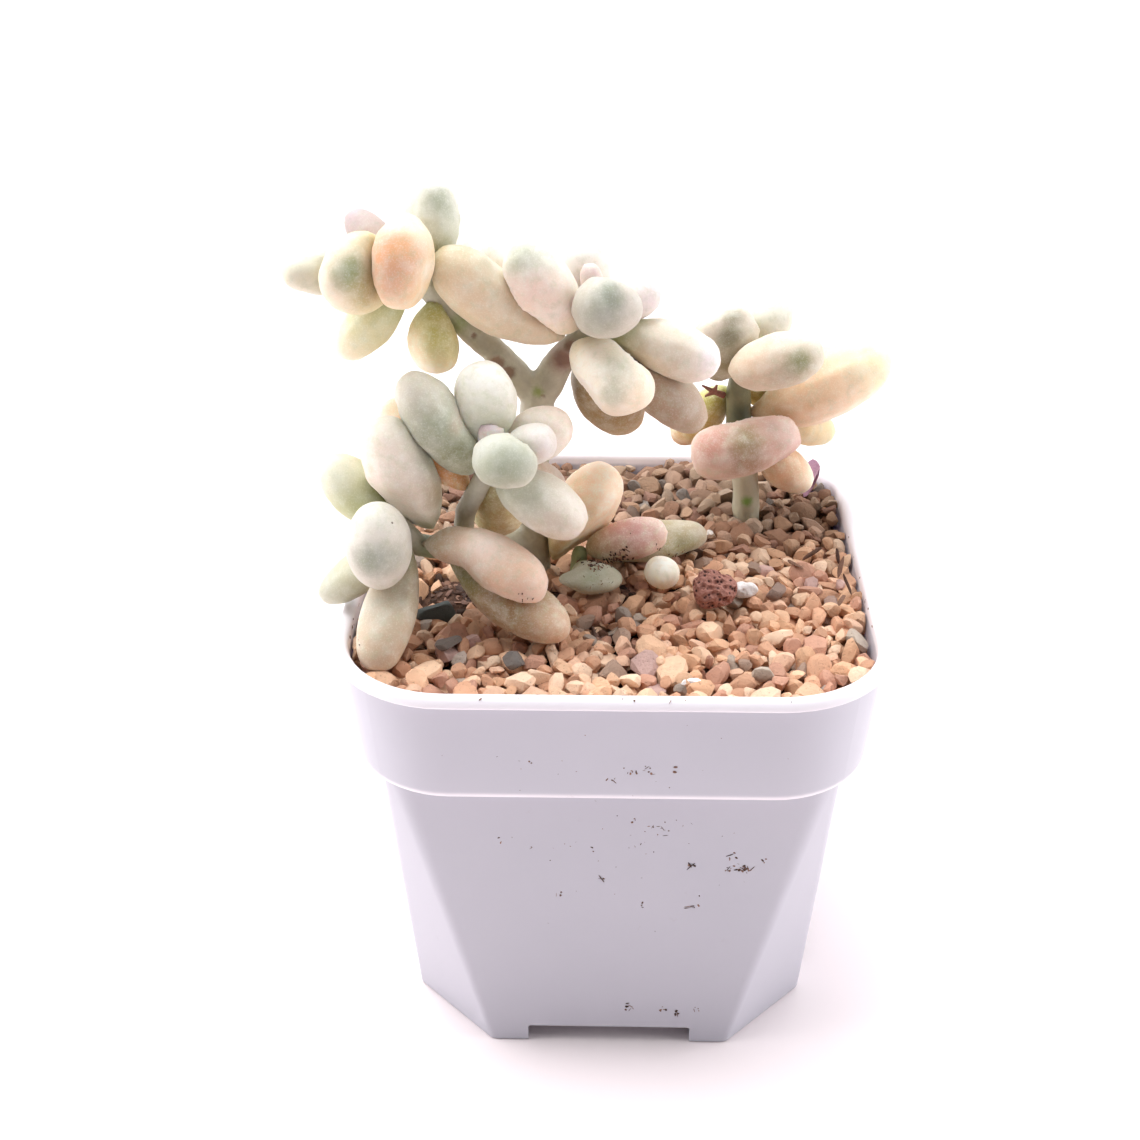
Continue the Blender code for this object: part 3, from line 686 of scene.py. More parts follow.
lava = rock("lava_lump", "lava_stone", "lava_rock", 6, 1.1 * MM, 0.75 * MM, 2.2 * MM, 0.5 * MM)
lava.data.materials.append(lava_finish())
perlite = rock("perlite_lump", "perlite_grain", "perlite", 5, 0.7 * MM, 0.16 * MM, 1.2 * MM, 0.35 * MM)
white = Finish("perlite_white", 0.9)
crust = white.cloud(white.place(), 3000, detail=4, rough=0.7)
white.put("Base Color", white.blend(crust, paint("e6dcda"), paint("fdfaf8")))
white.put("Normal", white.bump(crust, 0.2 * MM))
perlite.data.materials.append(white.material)


# ---------------------------------------------------------------- stems
# Bare succulent stems, grey-green and waxy, with oval scars where old leaves dropped off. They are
# the frame's stems with their joints softened, their scars raised and their skin made uneven.

SCAR_RIM = 0.16 * MM
STEM_VOXEL = 0.32 * MM

# Old leaf scars: x, y, z and radius in millimetres, z from the gravel surface.
SCARS = [(-14.8, -2.0, 31.0, 1.3), (-13.4, -1.6, 29.6, 1.2), (-6.4, -2.2, 31.6, 1.5),
         (-5.6, -2.4, 33.6, 1.2), (-9.0, -2.0, 26.4, 0.7), (-11.2, -2.2, 26.8, 0.7),
         (-17.5, -2.4, 34.8, 0.7), (-11.5, -0.6, 17.0, 1.2), (-8.4, 1.0, 9.0, 1.1),
         (18.2, 14.6, 11.0, 1.3)]


def copy_node(node, name):
    """A copy of a CAD node with its loose triangles merged into one skin of four-sided faces."""
    piece = bpy.data.objects.new(name, frame["nodes"][node].data.copy())
    bpy.context.scene.collection.objects.link(piece)
    only(piece)
    if piece.data.has_custom_normals:
        bpy.ops.mesh.customdata_custom_splitnormals_clear()
    piece.data.materials.clear()
    bpy.ops.object.mode_set(mode="EDIT")
    bpy.ops.mesh.select_all(action="SELECT")
    bpy.ops.mesh.remove_doubles(threshold=0.001 * MM)
    bpy.ops.mesh.tris_convert_to_quads(face_threshold=math.radians(60), shape_threshold=math.radians(60))
    bpy.ops.mesh.normals_make_consistent(inside=False)
    bpy.ops.object.mode_set(mode="OBJECT")
    return piece


def scar(obj, middle, radius):
    """A raised ring with a sunken middle, pushed into the skin near a point."""
    for vert in obj.data.vertices:
        away = (vert.co - middle).length / radius
        if away < 1.6:
            ring = math.exp(-((away - 0.95) / 0.28) ** 2)
            sunk = math.exp(-(away / 0.6) ** 2)
            vert.co += vert.normal * SCAR_RIM * (ring - 0.7 * sunk)


def stem_skin(name, body, dark, scar_tint, patches, pale=None):
    """Waxy stem skin: body and dark drift into each other, with scars and patches of other colours.

    A patch is x, y, z and radius in millimetres, z from the gravel surface, and its colour.
    """
    skin = Finish(name, 0.5, Subsurface_Weight=0.15, Subsurface_Scale=0.001,
                  Subsurface_Radius=(0.8, 1.0, 0.5))
    place = skin.place()
    drift = skin.cloud(place, 260, detail=3)
    fine = skin.cloud(place, 2400, detail=4, rough=0.65)
    colour = skin.blend(drift.rise(0.3, 0.7), paint(body), paint(dark))
    colour = skin.shade(colour, 0.86 + 0.28 * fine)
    if pale:
        code, foot, top = pale
        height = skin.node("ShaderNodeSeparateXYZ", None, {0: place}, out="Z")
        colour = skin.blend((height + 0.002 * drift).fall(foot, top), colour, paint(code))
    for x, y, z, radius, code in patches:
        away = skin.from_point(place, (x * MM, y * MM, GRAVEL_TOP + z * MM))
        colour = skin.blend((away + 0.0008 * fine).fall(0.3 * radius * MM, radius * MM) * 0.9,
                            colour, paint(code))
    for x, y, z, radius in SCARS:
        away = skin.from_point(place, (x * MM, y * MM, GRAVEL_TOP + z * MM))
        mark = (away + 0.0006 * fine).fall(0.7 * radius * MM, 1.25 * radius * MM)
        colour = skin.blend(mark * 0.75, colour, paint(scar_tint))
    skin.put("Base Color", colour)
    skin.put("Roughness", 0.42 + 0.2 * fine)
    skin.put("Normal", skin.bump(fine + 0.4 * drift, 0.08 * MM))
    return skin.material


def make_stem(node):
    stem = copy_node(node, node + "_bark")
    fit(stem, "REMESH", mode="VOXEL", voxel_size=STEM_VOXEL)
    fit(stem, "SMOOTH", factor=0.5, iterations=6)
    lumps = bpy.data.textures.new("stem_lumps", "CLOUDS")
    lumps.noise_scale = 3.2 * MM
    fit(stem, "DISPLACE", texture=lumps, texture_coords="LOCAL", strength=0.5 * MM, mid_level=0.35)
    for x, y, z, radius in SCARS:
        scar(stem, Vector((x * MM, y * MM, GRAVEL_TOP + z * MM)), radius * MM)
    only(stem)
    bpy.ops.object.shade_smooth()
    settle(stem, "stem_skin", node)
    return stem


main_stem = make_stem("main_stem")
main_stem.data.materials.append(stem_skin(
    "main_stem_skin", "ccc9b6", "b3ae9c", "86604f",
    [(-19.5, -1.5, 36.5, 2.6, "8aa04c"), (-9.7, -1.5, 27, 1.6, "9dab68"),
     (-23, -12.5, 9.5, 4.5, "869370"), (-17.5, -8, 7.5, 5, "858f6c"),
     (-6.5, -1.5, 31.5, 3.6, "a08478")]))
right_stem = make_stem("right_stem")
right_stem.data.materials.append(stem_skin(
    "right_stem_skin", "858260", "6b6a4e", "7a5546",
    [(19.2, 14.9, 3.3, 1.7, "6f9a3c"), (17.6, 14, 17, 3, "55604c")],
    pale=("c4bea6", GRAVEL_TOP + 8.5 * MM, GRAVEL_TOP + 13 * MM)))
sprout_stem = make_stem("sprout_stem")
sprout_stem.data.materials.append(stem_skin("sprout_stem_skin", "a4ac7c", "90956a", "7a6a50", []))


# ---------------------------------------------------------------- dried flower stalk
# The withered foot of a flower stalk still stands on the right-hand stem: a short brown stalk that
# forks into three thin arms. The arms are cones grown together into one skin.

STALK_THICK = 0.5 * MM
STALK_FORK = 0.38 * MM
ARM_THICK = 0.4 * MM
ARM_THIN = 0.16 * MM
STALK_VOXEL = 0.14 * MM


def stalk(start, end, thick, thin):
    """One straight length of stalk, from start to end."""
    way = end - start
    lean = way.to_track_quat("Z", "Y").to_euler()
    bpy.ops.mesh.primitive_cone_add(vertices=12, radius1=thick, radius2=thin, depth=way.length,
                                    location=(start + end) / 2, rotation=lean)
    bpy.ops.object.transform_apply(location=True, rotation=True, scale=True)
    return bpy.context.object


low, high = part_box("flower_stub")
stub_foot = Vector((high.x, high.y, low.z + 0.5 * MM))
stub_fork = stub_foot.lerp(Vector((low.x, low.y, high.z)), 0.45)
stub_tips = [Vector((low.x, low.y, high.z + 0.4 * MM)), stub_fork + Vector((0.3, -1.0, 1.5)) * MM,
             stub_fork + Vector((-1.3, -0.2, -0.6)) * MM]
arms = [stalk(stub_foot, stub_fork, STALK_THICK, STALK_FORK)]
arms += [stalk(stub_fork, tip, ARM_THICK, ARM_THIN) for tip in stub_tips]
for arm in arms:
    arm.select_set(True)
bpy.ops.object.join()
stub = bpy.context.object
stub.name = "dried_flower_stalk"
fit(stub, "REMESH", mode="VOXEL", voxel_size=STALK_VOXEL)
fit(stub, "SMOOTH", factor=0.5, iterations=2)
bpy.ops.object.shade_smooth()
dry = Finish("dried_stalk", 0.8)
fibre = dry.cloud(dry.place(), 3000, detail=3)
dry.put("Base Color", dry.blend(fibre, paint("6a3a30"), paint("a57260")))
dry.put("Normal", dry.bump(fibre, 0.1 * MM))
stub.data.materials.append(dry.material)
settle(stub, "dry_stalk", "flower_stub")


# ---------------------------------------------------------------- leaves
# Plump variegated leaves under a bloom of pale wax, each held by a thin foot on its stem. Each is
# the frame's leaf made smooth and slightly uneven, in its own colours: neck, body and tip run into
# each other, and soft green, pink or orange spots lie where the leaf is less or more bleached.
# Some pale spots are painted highlights, and each leaf is made lighter or darker as a whole by
# light, a painted light and shade.

FRONT = Vector((0.0, -0.87, 0.49))       # places on a leaf are named as seen from the front and above
SEEN_UP = Vector((0.0, 0.49, 0.87))
WAX = "f3f5ec"
GREEN_CAST = "b9bf9e"

stem_tree = surface_of((main_stem, right_stem, sprout_stem))

LEAF_VOXEL = 0.42 * MM
FOOT_REACH = 1.7 * MM          # how much of the leaf's end is drawn to the stem
FOOT_PULL = 1.3                # past the stem's skin, so that no gap stays
STEM_GAP = 1.5 * MM            # a leaf farther off than this leans on its neighbours

leaf_lumps = bpy.data.textures.new("leaf_lumps", "CLOUDS")
leaf_lumps.noise_scale = 5 * MM


def find_base(leaf):
    """The leaf's point nearest to a stem, and the point of the stem that it meets."""
    best = None
    for vert in leaf.data.vertices:
        spot, _, _, gap = stem_tree.find_nearest(vert.co)
        if best is None or gap < best[2]:
            best = (vert.co.copy(), spot, gap)
    return best


def leaf_ends(leaf, base):
    """The leaf's two ends: the point farthest from its foot, and the point farthest from that."""
    tip = max((v.co for v in leaf.data.vertices), key=lambda spot: (spot - base).length)
    foot = max((v.co for v in leaf.data.vertices), key=lambda spot: (spot - tip).length)
    return foot.copy(), tip.copy()


def plump(leaf, foot, tip, length, blunt, neck):
    """Stretch the leaf back to its length, round off its tip and draw in its neck."""
    axis = (tip - foot).normalized()
    middle = (tip + foot) / 2
    grown = length / (tip - foot).length
    for vert in leaf.data.vertices:
        way = (vert.co - middle).dot(axis)
        aside = vert.co - middle - axis * way
        share = 2 * way / (tip - foot).length
        if share > 0:
            wide = 1.03 + blunt * share ** 4
        else:
            wide = 1.03 + (0.5 * blunt - neck) * share ** 2
        vert.co = middle + axis * way * grown + aside * wide


def mark_along(leaf, foot, tip):
    """Store how far along the leaf each point is, from 0 at its foot to 1 at its tip."""
    axis = (tip - foot) / (tip - foot).length_squared
    along = leaf.data.attributes.new("along", "FLOAT", "POINT")
    along.data.foreach_set("value", [(v.co - foot).dot(axis) for v in leaf.data.vertices])


def seen_place(leaf, right, up):
    """The point of the leaf's front face at these shares, -1 to 1, of its outline seen from there."""
    spots = [(v.co.x, v.co.dot(SEEN_UP), v.co, v.normal.dot(FRONT)) for v in leaf.data.vertices]
    xs, ups = [s[0] for s in spots], [s[1] for s in spots]
    x = (max(xs) + min(xs)) / 2 + right * (max(xs) - min(xs)) / 2
    u = (max(ups) + min(ups)) / 2 + up * (max(ups) - min(ups)) / 2
    facing = [s for s in spots if s[3] > 0.05]
    return min(facing, key=lambda s: (s[0] - x) ** 2 + (s[1] - u) ** 2)[2].copy()


def leaf_middle(leaf):
    return sum((v.co for v in leaf.data.vertices), Vector()) / len(leaf.data.vertices)


def swell(leaf, right, up, size, height):
    """Raise the skin round a place by up to height millimetres, or sink it if that is negative."""
    middle = seen_place(leaf, right, up)
    out = min(leaf.data.vertices, key=lambda v: (v.co - middle).length_squared).normal.copy()
    for vert in leaf.data.vertices:
        away = (vert.co - middle).length / (size * MM)
        if away < 2.5:
            vert.co += out * height * MM * math.exp(-away * away) * max(0.0, vert.normal.dot(out))


def leaf_skin(leaf, neck, body, tip, spots, specks, light):
    """Three colours from foot to tip, soft spots, a green mottle, pale bloom and a few dark specks,
    all scaled by light, a painted light and shade for how brightly the leaf is lit.
    """
    skin = Finish(leaf.name + "_skin", 0.5, Subsurface_Weight=0.35, Subsurface_Scale=0.0025,
                  Subsurface_Radius=(1.0, 0.8, 0.5), Sheen_Weight=0.12, Sheen_Roughness=0.5)
    place = skin.place()
    along = skin.attribute("along")
    drift = skin.cloud(place, 150, detail=2)
    wisp = skin.cloud(place, 520, detail=4, rough=0.6)
    grain = skin.cloud(place, 5200, detail=3, rough=0.7)
    way = along + 0.3 * (drift - 0.5)
    colour = skin.blend(way.rise(0.02, 0.42), paint(neck), paint(body))
    colour = skin.blend(way.rise(0.55, 1.0), colour, paint(tip))
    for code, right, up, size, strength in spots:
        away = skin.from_point(place, seen_place(leaf, right, up))
        ragged = away + 0.0022 * (drift - 0.5) + 0.0014 * (wisp - 0.5)
        colour = skin.blend(ragged.fall(0.1 * size * MM, 1.1 * size * MM) * strength, colour, paint(code))
    mottle = skin.cloud(place, 900, detail=4, rough=0.65)
    colour = skin.blend(mottle.rise(0.46, 0.7) * 0.3, colour, paint(GREEN_CAST))
    bloom = wisp.rise(0.38, 0.74) * 0.26 + grain.rise(0.5, 0.7) * 0.24
    colour = skin.blend(bloom, colour, paint(WAX))
    # light makes the whole leaf lighter or darker: painted light and shade for how brightly it is lit.
    colour = skin.shade(colour, 0.94 * light + 0.12 * grain)
    chance = skin.cells(place, 330, out="Color").rise(1 - specks, 1 - 0.9 * specks)
    dots = skin.cells(place, 330).fall(0.035, 0.06) * chance
    colour = skin.blend(dots * 0.85, colour, paint("5a4a3c"))
    skin.put("Base Color", colour)
    skin.put("Roughness", 0.46 + 0.16 * wisp)
    skin.put("Normal", skin.bump(0.5 * grain + wisp, 0.04 * MM))
    return skin.material


def ball_in_box(node, name):
    """A leaf seen end on, as a ball that fills the CAD leaf's box."""
    low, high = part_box(node)
    bpy.ops.mesh.primitive_ico_sphere_add(subdivisions=5, radius=1)
    leaf = bpy.context.object
    leaf.name = name
    for vert in leaf.data.vertices:
        out = vert.co.normalized()
        vert.co = [(l + h) / 2 + (h - l) / 2 * o for l, h, o in zip(low, high, out)]
    return leaf


def make_leaf(node, neck_tint, body, tip_tint, *spots, specks=0.1, blunt=0.3, neck=0.1, rounds=14,
              swells=(), light=1.0, ball=False):
    """Round a CAD leaf off, set its foot on the stem, shape it and colour it.

    Each spot is a colour, a place (right, up), a size in millimetres and a strength; each swell is
    a place, a size and a height in millimetres. Places are shares of the leaf's outline, -1 to 1.
    Light scales all the leaf's colours: a painted light and shade.
    """
    if ball:
        leaf = ball_in_box(node, node + "_flesh")
    else:
        leaf = copy_node(node, node + "_flesh")
    base = find_base(leaf)[0]
    foot, tip = leaf_ends(leaf, base)
    length = (tip - foot).length
    if not ball:
        fit(leaf, "REMESH", mode="VOXEL", voxel_size=LEAF_VOXEL)
        fit(leaf, "SMOOTH", factor=0.5, iterations=rounds)
        plump(leaf, *leaf_ends(leaf, base), length, blunt, neck)
    base, foothold, gap = find_base(leaf)
    if gap < STEM_GAP:
        for vert in leaf.data.vertices:
            away = (vert.co - base).length / FOOT_REACH
            vert.co += (foothold - base) * FOOT_PULL * math.exp(-away * away)
    for place in swells:
        swell(leaf, *place)
    fit(leaf, "DISPLACE", texture=leaf_lumps, texture_coords="LOCAL", strength=0.5 * MM, mid_level=0.5)
    mark_along(leaf, *leaf_ends(leaf, base))
    only(leaf)
    bpy.ops.object.shade_smooth()
    leaf.data.materials.append(leaf_skin(leaf, neck_tint, body, tip_tint, spots, specks, light))
    tone = next(p["material_slot"] for p in frame["record"]["subparts"] if p["node"] == node)
    settle(leaf, tone, node)
    leaves[node] = leaf


leaves = {}

make_leaf("upper_left_leaf_1", "ccd0b0", "d6d6c4", "ece8dc", ("98a184", 0.35, 0.45, 2.6, 0.7),
          ("b9b488", 0.2, -0.6, 2.6, 0.6), ("e8e6d8", -0.7, 0.2, 4, 0.7), light=0.93)
make_leaf("upper_left_leaf_2", "dccfb8", "e6cbc2", "e6ccd0", light=0.68)
make_leaf("upper_left_leaf_3", "c6c8a4", "dfdac2", "fbf3dc", ("cdceb2", 0.4, -0.5, 4.5, 0.7), light=0.72)
make_leaf("upper_left_leaf_4", "a99a54", "dfcfa2", "f2e1c8", ("8a9460", -0.05, -0.2, 3.2, 0.9),
          ("b0a062", 0.2, -0.6, 3.0, 0.7), ("b79e5c", 0.85, -0.1, 4.0, 0.8),
          ("c6b07e", 0.4, -0.6, 3, 0.6), swells=[(0.2, 0.9, 2.2, 0.5), (-0.9, 0.2, 2.5, -0.4)],
          light=0.93)
make_leaf("upper_left_leaf_5", "e6d2a2", "edcda4", "e1b08e", ("f6e8cc", 0.1, 0.75, 5.0, 0.9),
          ("eaa676", -0.6, 0.05, 2.4, 0.85), ("ecae7a", 0.1, 0.1, 2.6, 0.7),
          ("f0dfc6", 0.8, -0.2, 2.4, 0.7), blunt=0.2, neck=-0.1,
          swells=[(0.75, 0.35, 2.2, 0.5), (1.0, -0.02, 0.9, -0.8), (0.95, -0.6, 2.2, -0.7),
                  (-0.6, -0.8, 2.0, 0.5), (-0.9, 0.8, 2.0, -0.5)], light=0.93)
make_leaf("upper_left_leaf_6", "a8b070", "d3cda4", "f2e4cc", ("b3b884", 0.5, 0.5, 4, 0.7), light=1.13)
make_leaf("upper_left_leaf_7", "a3a468", "c6ba88", "f0dcc6", ("aea864", 0.3, 0.1, 3.6, 0.8),
          ("e8cfb4", -0.7, -0.3, 3, 0.7), swells=[(0.1, 0.95, 2.2, 1.3)], light=1.45)
make_leaf("upper_left_leaf_8", "f0e8d4", "fbf3e6", "fdf6ec", light=0.84)
make_leaf("upper_middle_leaf_1", "b5a57e", "e0caac", "efdcc4", ("d9d6c4", 0.0, 0.55, 4.5, 0.6),
          ("f2dcc4", -0.6, 0.2, 5, 0.5), ("e2c5a2", -0.45, -0.1, 5, 0.4))
make_leaf("upper_middle_leaf_2", "f0e2cc", "faeedf", "fdf6ee", light=0.85)
make_leaf("upper_middle_leaf_3", "ecd4b6", "f1ddd0", "f2ece6", ("b3b59e", -0.55, 0.4, 3.6, 0.85),
          ("c3c4b2", 0.1, 0.5, 3.2, 0.6), ("e9c6b2", -0.3, -0.3, 4, 0.5), ("d6d8cc", 0.75, 0.1, 3, 0.5),
          swells=[(-0.5, 0.6, 2.6, 0.5), (-0.3, 0.98, 3.0, 1.2), (0.5, -0.98, 2.6, 0.9),
                  (-0.6, -0.5, 2.6, 0.5)], light=1.06)
make_leaf("upper_middle_leaf_4", "f4e8d8", "fbf4ec", "fdfaf6", light=0.95)
make_leaf("upper_middle_leaf_5", "e4d0c8", "eddbd8", "d8bfc0")
make_leaf("upper_middle_leaf_6", "beb994", "d9cfbe", "e8ddd0", ("99a08e", 0.05, 0.1, 2.6, 0.8),
          ("aeb09c", -0.3, -0.3, 4.5, 0.6), ("a4a896", 0.1, 0.65, 2.0, 0.7),
          ("b4b4a2", 0.0, -0.6, 3, 0.6), rounds=20,
          swells=[(-0.5, 0.85, 1.8, 0.35), (0.5, 0.9, 1.8, -0.4), (0.9, -0.3, 2.0, 0.3)], light=0.74)
make_leaf("upper_middle_leaf_7", "e8d8cc", "f7e9e5", "f2e2e2", light=0.86)
make_leaf("upper_middle_leaf_8", "a5b272", "e6d8c6", "f4eae6", ("cbb692", -0.5, -0.2, 4, 0.6),
          ("c8b49a", 0.1, -0.8, 5, 0.6), ("e6d6e0", 0.85, -0.2, 2.4, 0.5))
make_leaf("upper_middle_leaf_9", "efdfc8", "f0e2d2", "e8d4be", ("c2c0ac", 0.1, 0.0, 3.2, 0.6),
          ("d6cfba", 0.1, 0.45, 3.2, 0.5), ("a8ab94", 0.05, -0.6, 2.4, 0.6), specks=0.2, rounds=20,
          swells=[(0.85, -0.45, 2.6, 0.8), (0.8, 0.75, 2.4, -0.9), (-0.85, -0.7, 2.6, -1.0),
                  (-0.6, 0.7, 2.2, 0.4)], light=1.2)
make_leaf("upper_middle_leaf_10", "a08c66", "bda188", "c9ac94", ("9c8266", -0.5, -0.4, 4.5, 0.6),
          ("dcc4b0", 0.4, 0.15, 4, 0.5), light=0.8)
make_leaf("upper_middle_leaf_11", "8c7650", "a3875f", "b4946c")
make_leaf("front_leaf_1", "8f9170", "a9aa94", "d8cfc0", ("9b9f86", -0.1, -0.2, 4, 0.7),
          ("e4d4c8", 0.75, 0.3, 3.6, 0.8), ("878a68", 0.35, -0.7, 2.6, 0.7), ("c9b29c", 0.5, 0.0, 2, 0.5),
          swells=[(0.5, 0.5, 2.8, 0.7), (-0.4, -0.3, 2.8, 0.4), (0.98, -0.5, 2.4, 0.7)])
make_leaf("front_leaf_2", "cdd2b8", "e6e2d4", "f6f3ea", ("d2d6c6", -0.2, -0.3, 5, 0.6),
          ("ddd6cc", 0.8, 0.3, 3.5, 0.5), specks=0.15, swells=[(-0.7, -0.8, 2.4, 0.6)], light=1.15)
make_leaf("front_leaf_3", "dccfc2", "e6d5cd", "cfb0b4", light=1.5)
make_leaf("front_leaf_4", "d6d2c0", "ddd0c4", "e6d4c8", ("e6ddd4", -0.2, 0.3, 3, 0.4), light=1.2)
make_leaf("front_leaf_5", "d2d4c0", "e4dcd2", "ece0dc", ("d2d2c4", -0.2, -0.4, 3, 0.5), light=0.88)
make_leaf("front_leaf_6", "c4caa8", "e4e4d2", "e6e6d6", ("aeb49a", 0.35, -0.25, 4.2, 0.7),
          ("c2c6aa", -0.5, -0.3, 4, 0.7), ("b2b89c", -0.1, -0.7, 3, 0.6), ("f4f2ea", -0.6, 0.6, 3, 0.6),
          specks=0.15, rounds=18,
          swells=[(-0.8, 0.6, 2.0, 0.3), (0.8, -0.7, 2.0, 0.4), (0.7, 0.9, 2.0, -0.6)], light=0.74)
make_leaf("front_leaf_7", "a3a888", "d8cebf", "e6dacf", ("b9bda6", -0.4, 0.2, 4.5, 0.7),
          ("d0c2b0", 0.5, -0.6, 3.5, 0.6), ("bfae94", 0.2, -0.8, 3, 0.5), specks=0.2, neck=-0.15,
          swells=[(-0.6, 0.3, 2.6, 0.4)])
make_leaf("front_leaf_8", "b98d62", "dba878", "f3e0cc", ("d79a62", 0.3, -0.5, 5, 0.7), light=1.35)
make_leaf("front_leaf_9", "cdb8a0", "d8bfac", "e2c8b8", light=0.82)
make_leaf("front_leaf_10", "98906a", "a8996e", "a4906c", specks=0.2, light=1.9)
make_leaf("trunk_leaf_1", "a8985e", "d6b896", "e8c8b0", ("c6a27e", -0.2, 0.5, 5, 0.4),
          ("b8a878", -0.4, -0.7, 4, 0.6), specks=0.2,
          swells=[(0.5, 0.3, 3.0, 0.6), (-0.4, -0.3, 3.0, 0.6), (-0.75, 0.1, 3.0, 1.1),
                  (0.55, -0.5, 3.0, 1.0)], light=1.45)
make_leaf("left_leaf_1", "b5b494", "d9cbbc", "e8dccf", ("9fa391", 0.85, 0.35, 4.5, 0.85),
          ("b4b29c", 0.5, 0.8, 4.5, 0.6), ("ab9a78", 0.9, -0.35, 3, 0.7), ("ecdccf", -0.6, 0.2, 4, 0.6),
          light=1.12)
make_leaf("left_leaf_2", "87954e", "c3c496", "e4dfc6", ("a3ab74", 0.6, -0.2, 4, 0.7),
          ("e6e4d4", -0.5, 0.5, 4.5, 0.6))
# Its pale spot at the top is a painted highlight.
make_leaf("left_leaf_3", "cfc8ae", "ddd5c8", "e6ddd0", ("929a86", -0.05, -0.35, 3.2, 0.85),
          ("aeb0a0", 0.5, -0.35, 3.2, 0.6), ("f4efe6", -0.3, 0.7, 5, 0.6), ("b8b4a0", -0.5, -0.4, 3, 0.4),
          specks=0.2, light=0.86, ball=True)
make_leaf("left_leaf_4", "b8b48c", "d8d3b6", "cfcdb8", ("a8ac8c", 0.0, -0.7, 4, 0.6),
          ("f0ead0", -0.1, 0.7, 4, 0.5), light=0.86)
make_leaf("left_leaf_5", "a8a07c", "cfbda4", "ccb296", ("b2b496", -0.35, 0.8, 4, 0.7),
          ("e2d6c4", -0.7, 0.1, 4, 0.6), ("a8977c", 0.85, 0.2, 4, 0.5))
# Its pale pink spot at the top is partly real bleaching and partly a painted highlight.
make_leaf("low_branch_leaf_1", "9f8c6c", "dcb69a", "f4d2be", ("f9e2d5", 0.1, 0.5, 4.5, 0.9),
          ("8a7650", -0.15, -0.75, 2.6, 0.6), ("e8bfa0", 0.4, -0.3, 5, 0.6),
          ("a88a66", -0.3, -0.5, 4, 0.6), neck=-0.55,
          swells=[(-0.8, 0.5, 2.0, 0.9), (-0.45, -0.3, 2.2, -1.0), (0.0, 0.8, 2.6, 0.4),
                  (0.8, -0.2, 2.2, 0.4), (-0.6, 0.98, 2.0, 0.7)], light=0.88)
make_leaf("low_branch_leaf_2", "8a8a50", "a08360", "cba88c", ("7e8048", -0.7, 0.5, 5, 0.7),
          ("8c7450", 0.0, -0.5, 4, 0.5), specks=0.35, light=1.12)
make_leaf("sprout_leaf_1", "9c8a68", "b88f84", "c4a498", ("c69a98", 0.0, 0.2, 4, 0.7),
          ("9a8468", -0.3, -0.8, 4, 0.6), specks=0.3, neck=-0.45, swells=[(-0.8, 0.3, 1.8, 0.5)],
          light=1.55)
make_leaf("sprout_leaf_2", "88864e", "b3a380", "c8b8a0", ("8f9058", 0.6, -0.7, 4, 0.6), specks=0.35)
make_leaf("sprout_leaf_3", "b5b592", "bfbca4", "cbc6ae", ("a5ae90", 0.1, 0.0, 2.6, 0.6),
          ("b8a78c", 0.5, -0.7, 3, 0.4), specks=0.2,
          swells=[(-0.75, 0.8, 1.6, -0.7), (-0.7, -0.9, 1.6, -0.5), (0.5, 0.6, 2.2, 0.3)],
          light=0.72, ball=True)
# Its near-white spot at the top is a painted highlight.
make_leaf("loose_leaf", "f0e6c8", "fbf3e0", "f6e8d2", ("fffaf0", 0.0, 0.5, 2.5, 0.6), light=1.1)
make_leaf("right_leaf_1", "80764c", "c9bda4", "e6d8c8", ("848062", 0.1, 0.1, 2.6, 0.85),
          ("8e8866", 0.15, 0.7, 2.2, 0.7), ("8c8458", -0.2, -0.7, 3.5, 0.6), rounds=34, light=0.84)
make_leaf("right_leaf_2", "e0dcc2", "eeeadb", "f4f2e6", light=0.92)
make_leaf("right_leaf_3", "cdb79c", "dcc9b4", "d2c6b0", ("8f9262", 0.45, -0.2, 2.4, 0.85),
          ("f2e8dc", 0.5, 0.8, 3.5, 0.6), ("e6c8ac", -0.6, 0.0, 4, 0.6), ("a89878", 0.3, -0.8, 4, 0.4),
          neck=-0.3)
# Its pale spot at the upper right is a painted highlight of the light from the right.
make_leaf("right_leaf_4", "c4a880", "ecceae", "fdeecb", ("f7e6bc", 0.6, 0.6, 6, 0.6),
          ("dbb68c", -0.3, -0.3, 6, 0.5), light=1.07)
make_leaf("right_leaf_5", "c98f80", "d0a796", "e2c4b6", ("9c8c64", -0.05, 0.15, 3.4, 0.8),
          ("c48a7a", -0.75, 0.0, 4.0, 0.8), ("9a7c5c", 0.0, -0.6, 4, 0.6),
          ("eed8cc", 0.75, 0.5, 3.5, 0.6), specks=0.15, neck=-0.2,
          swells=[(0.7, 0.9, 2.6, 0.9), (-0.35, 0.95, 2.6, -1.1), (-0.95, 0.2, 2.2, 0.4),
                  (0.9, -0.9, 2.4, -0.8), (-0.8, -0.7, 2.4, 0.3)])
make_leaf("right_leaf_6", "a08460", "cba888", "e6cab2", light=1.42)
make_leaf("right_leaf_7", "ddb884", "f0d8ac", "f4e2b4", light=0.93)
make_leaf("right_leaf_8", "96924c", "b39f66", "c8a684", light=1.5)
make_leaf("right_leaf_9", "a39858", "b3a66e", "c8b078", light=1.9)


# ---------------------------------------------------------------- crumbs and dirt
# Crumbs of potting mix and threads of bark lie on the bare soil and cling to the lower leaves, to
# the pot's front and to its rim, where they stayed when it was filled. Each is a small flat chip.

DIRT_SEED = 5

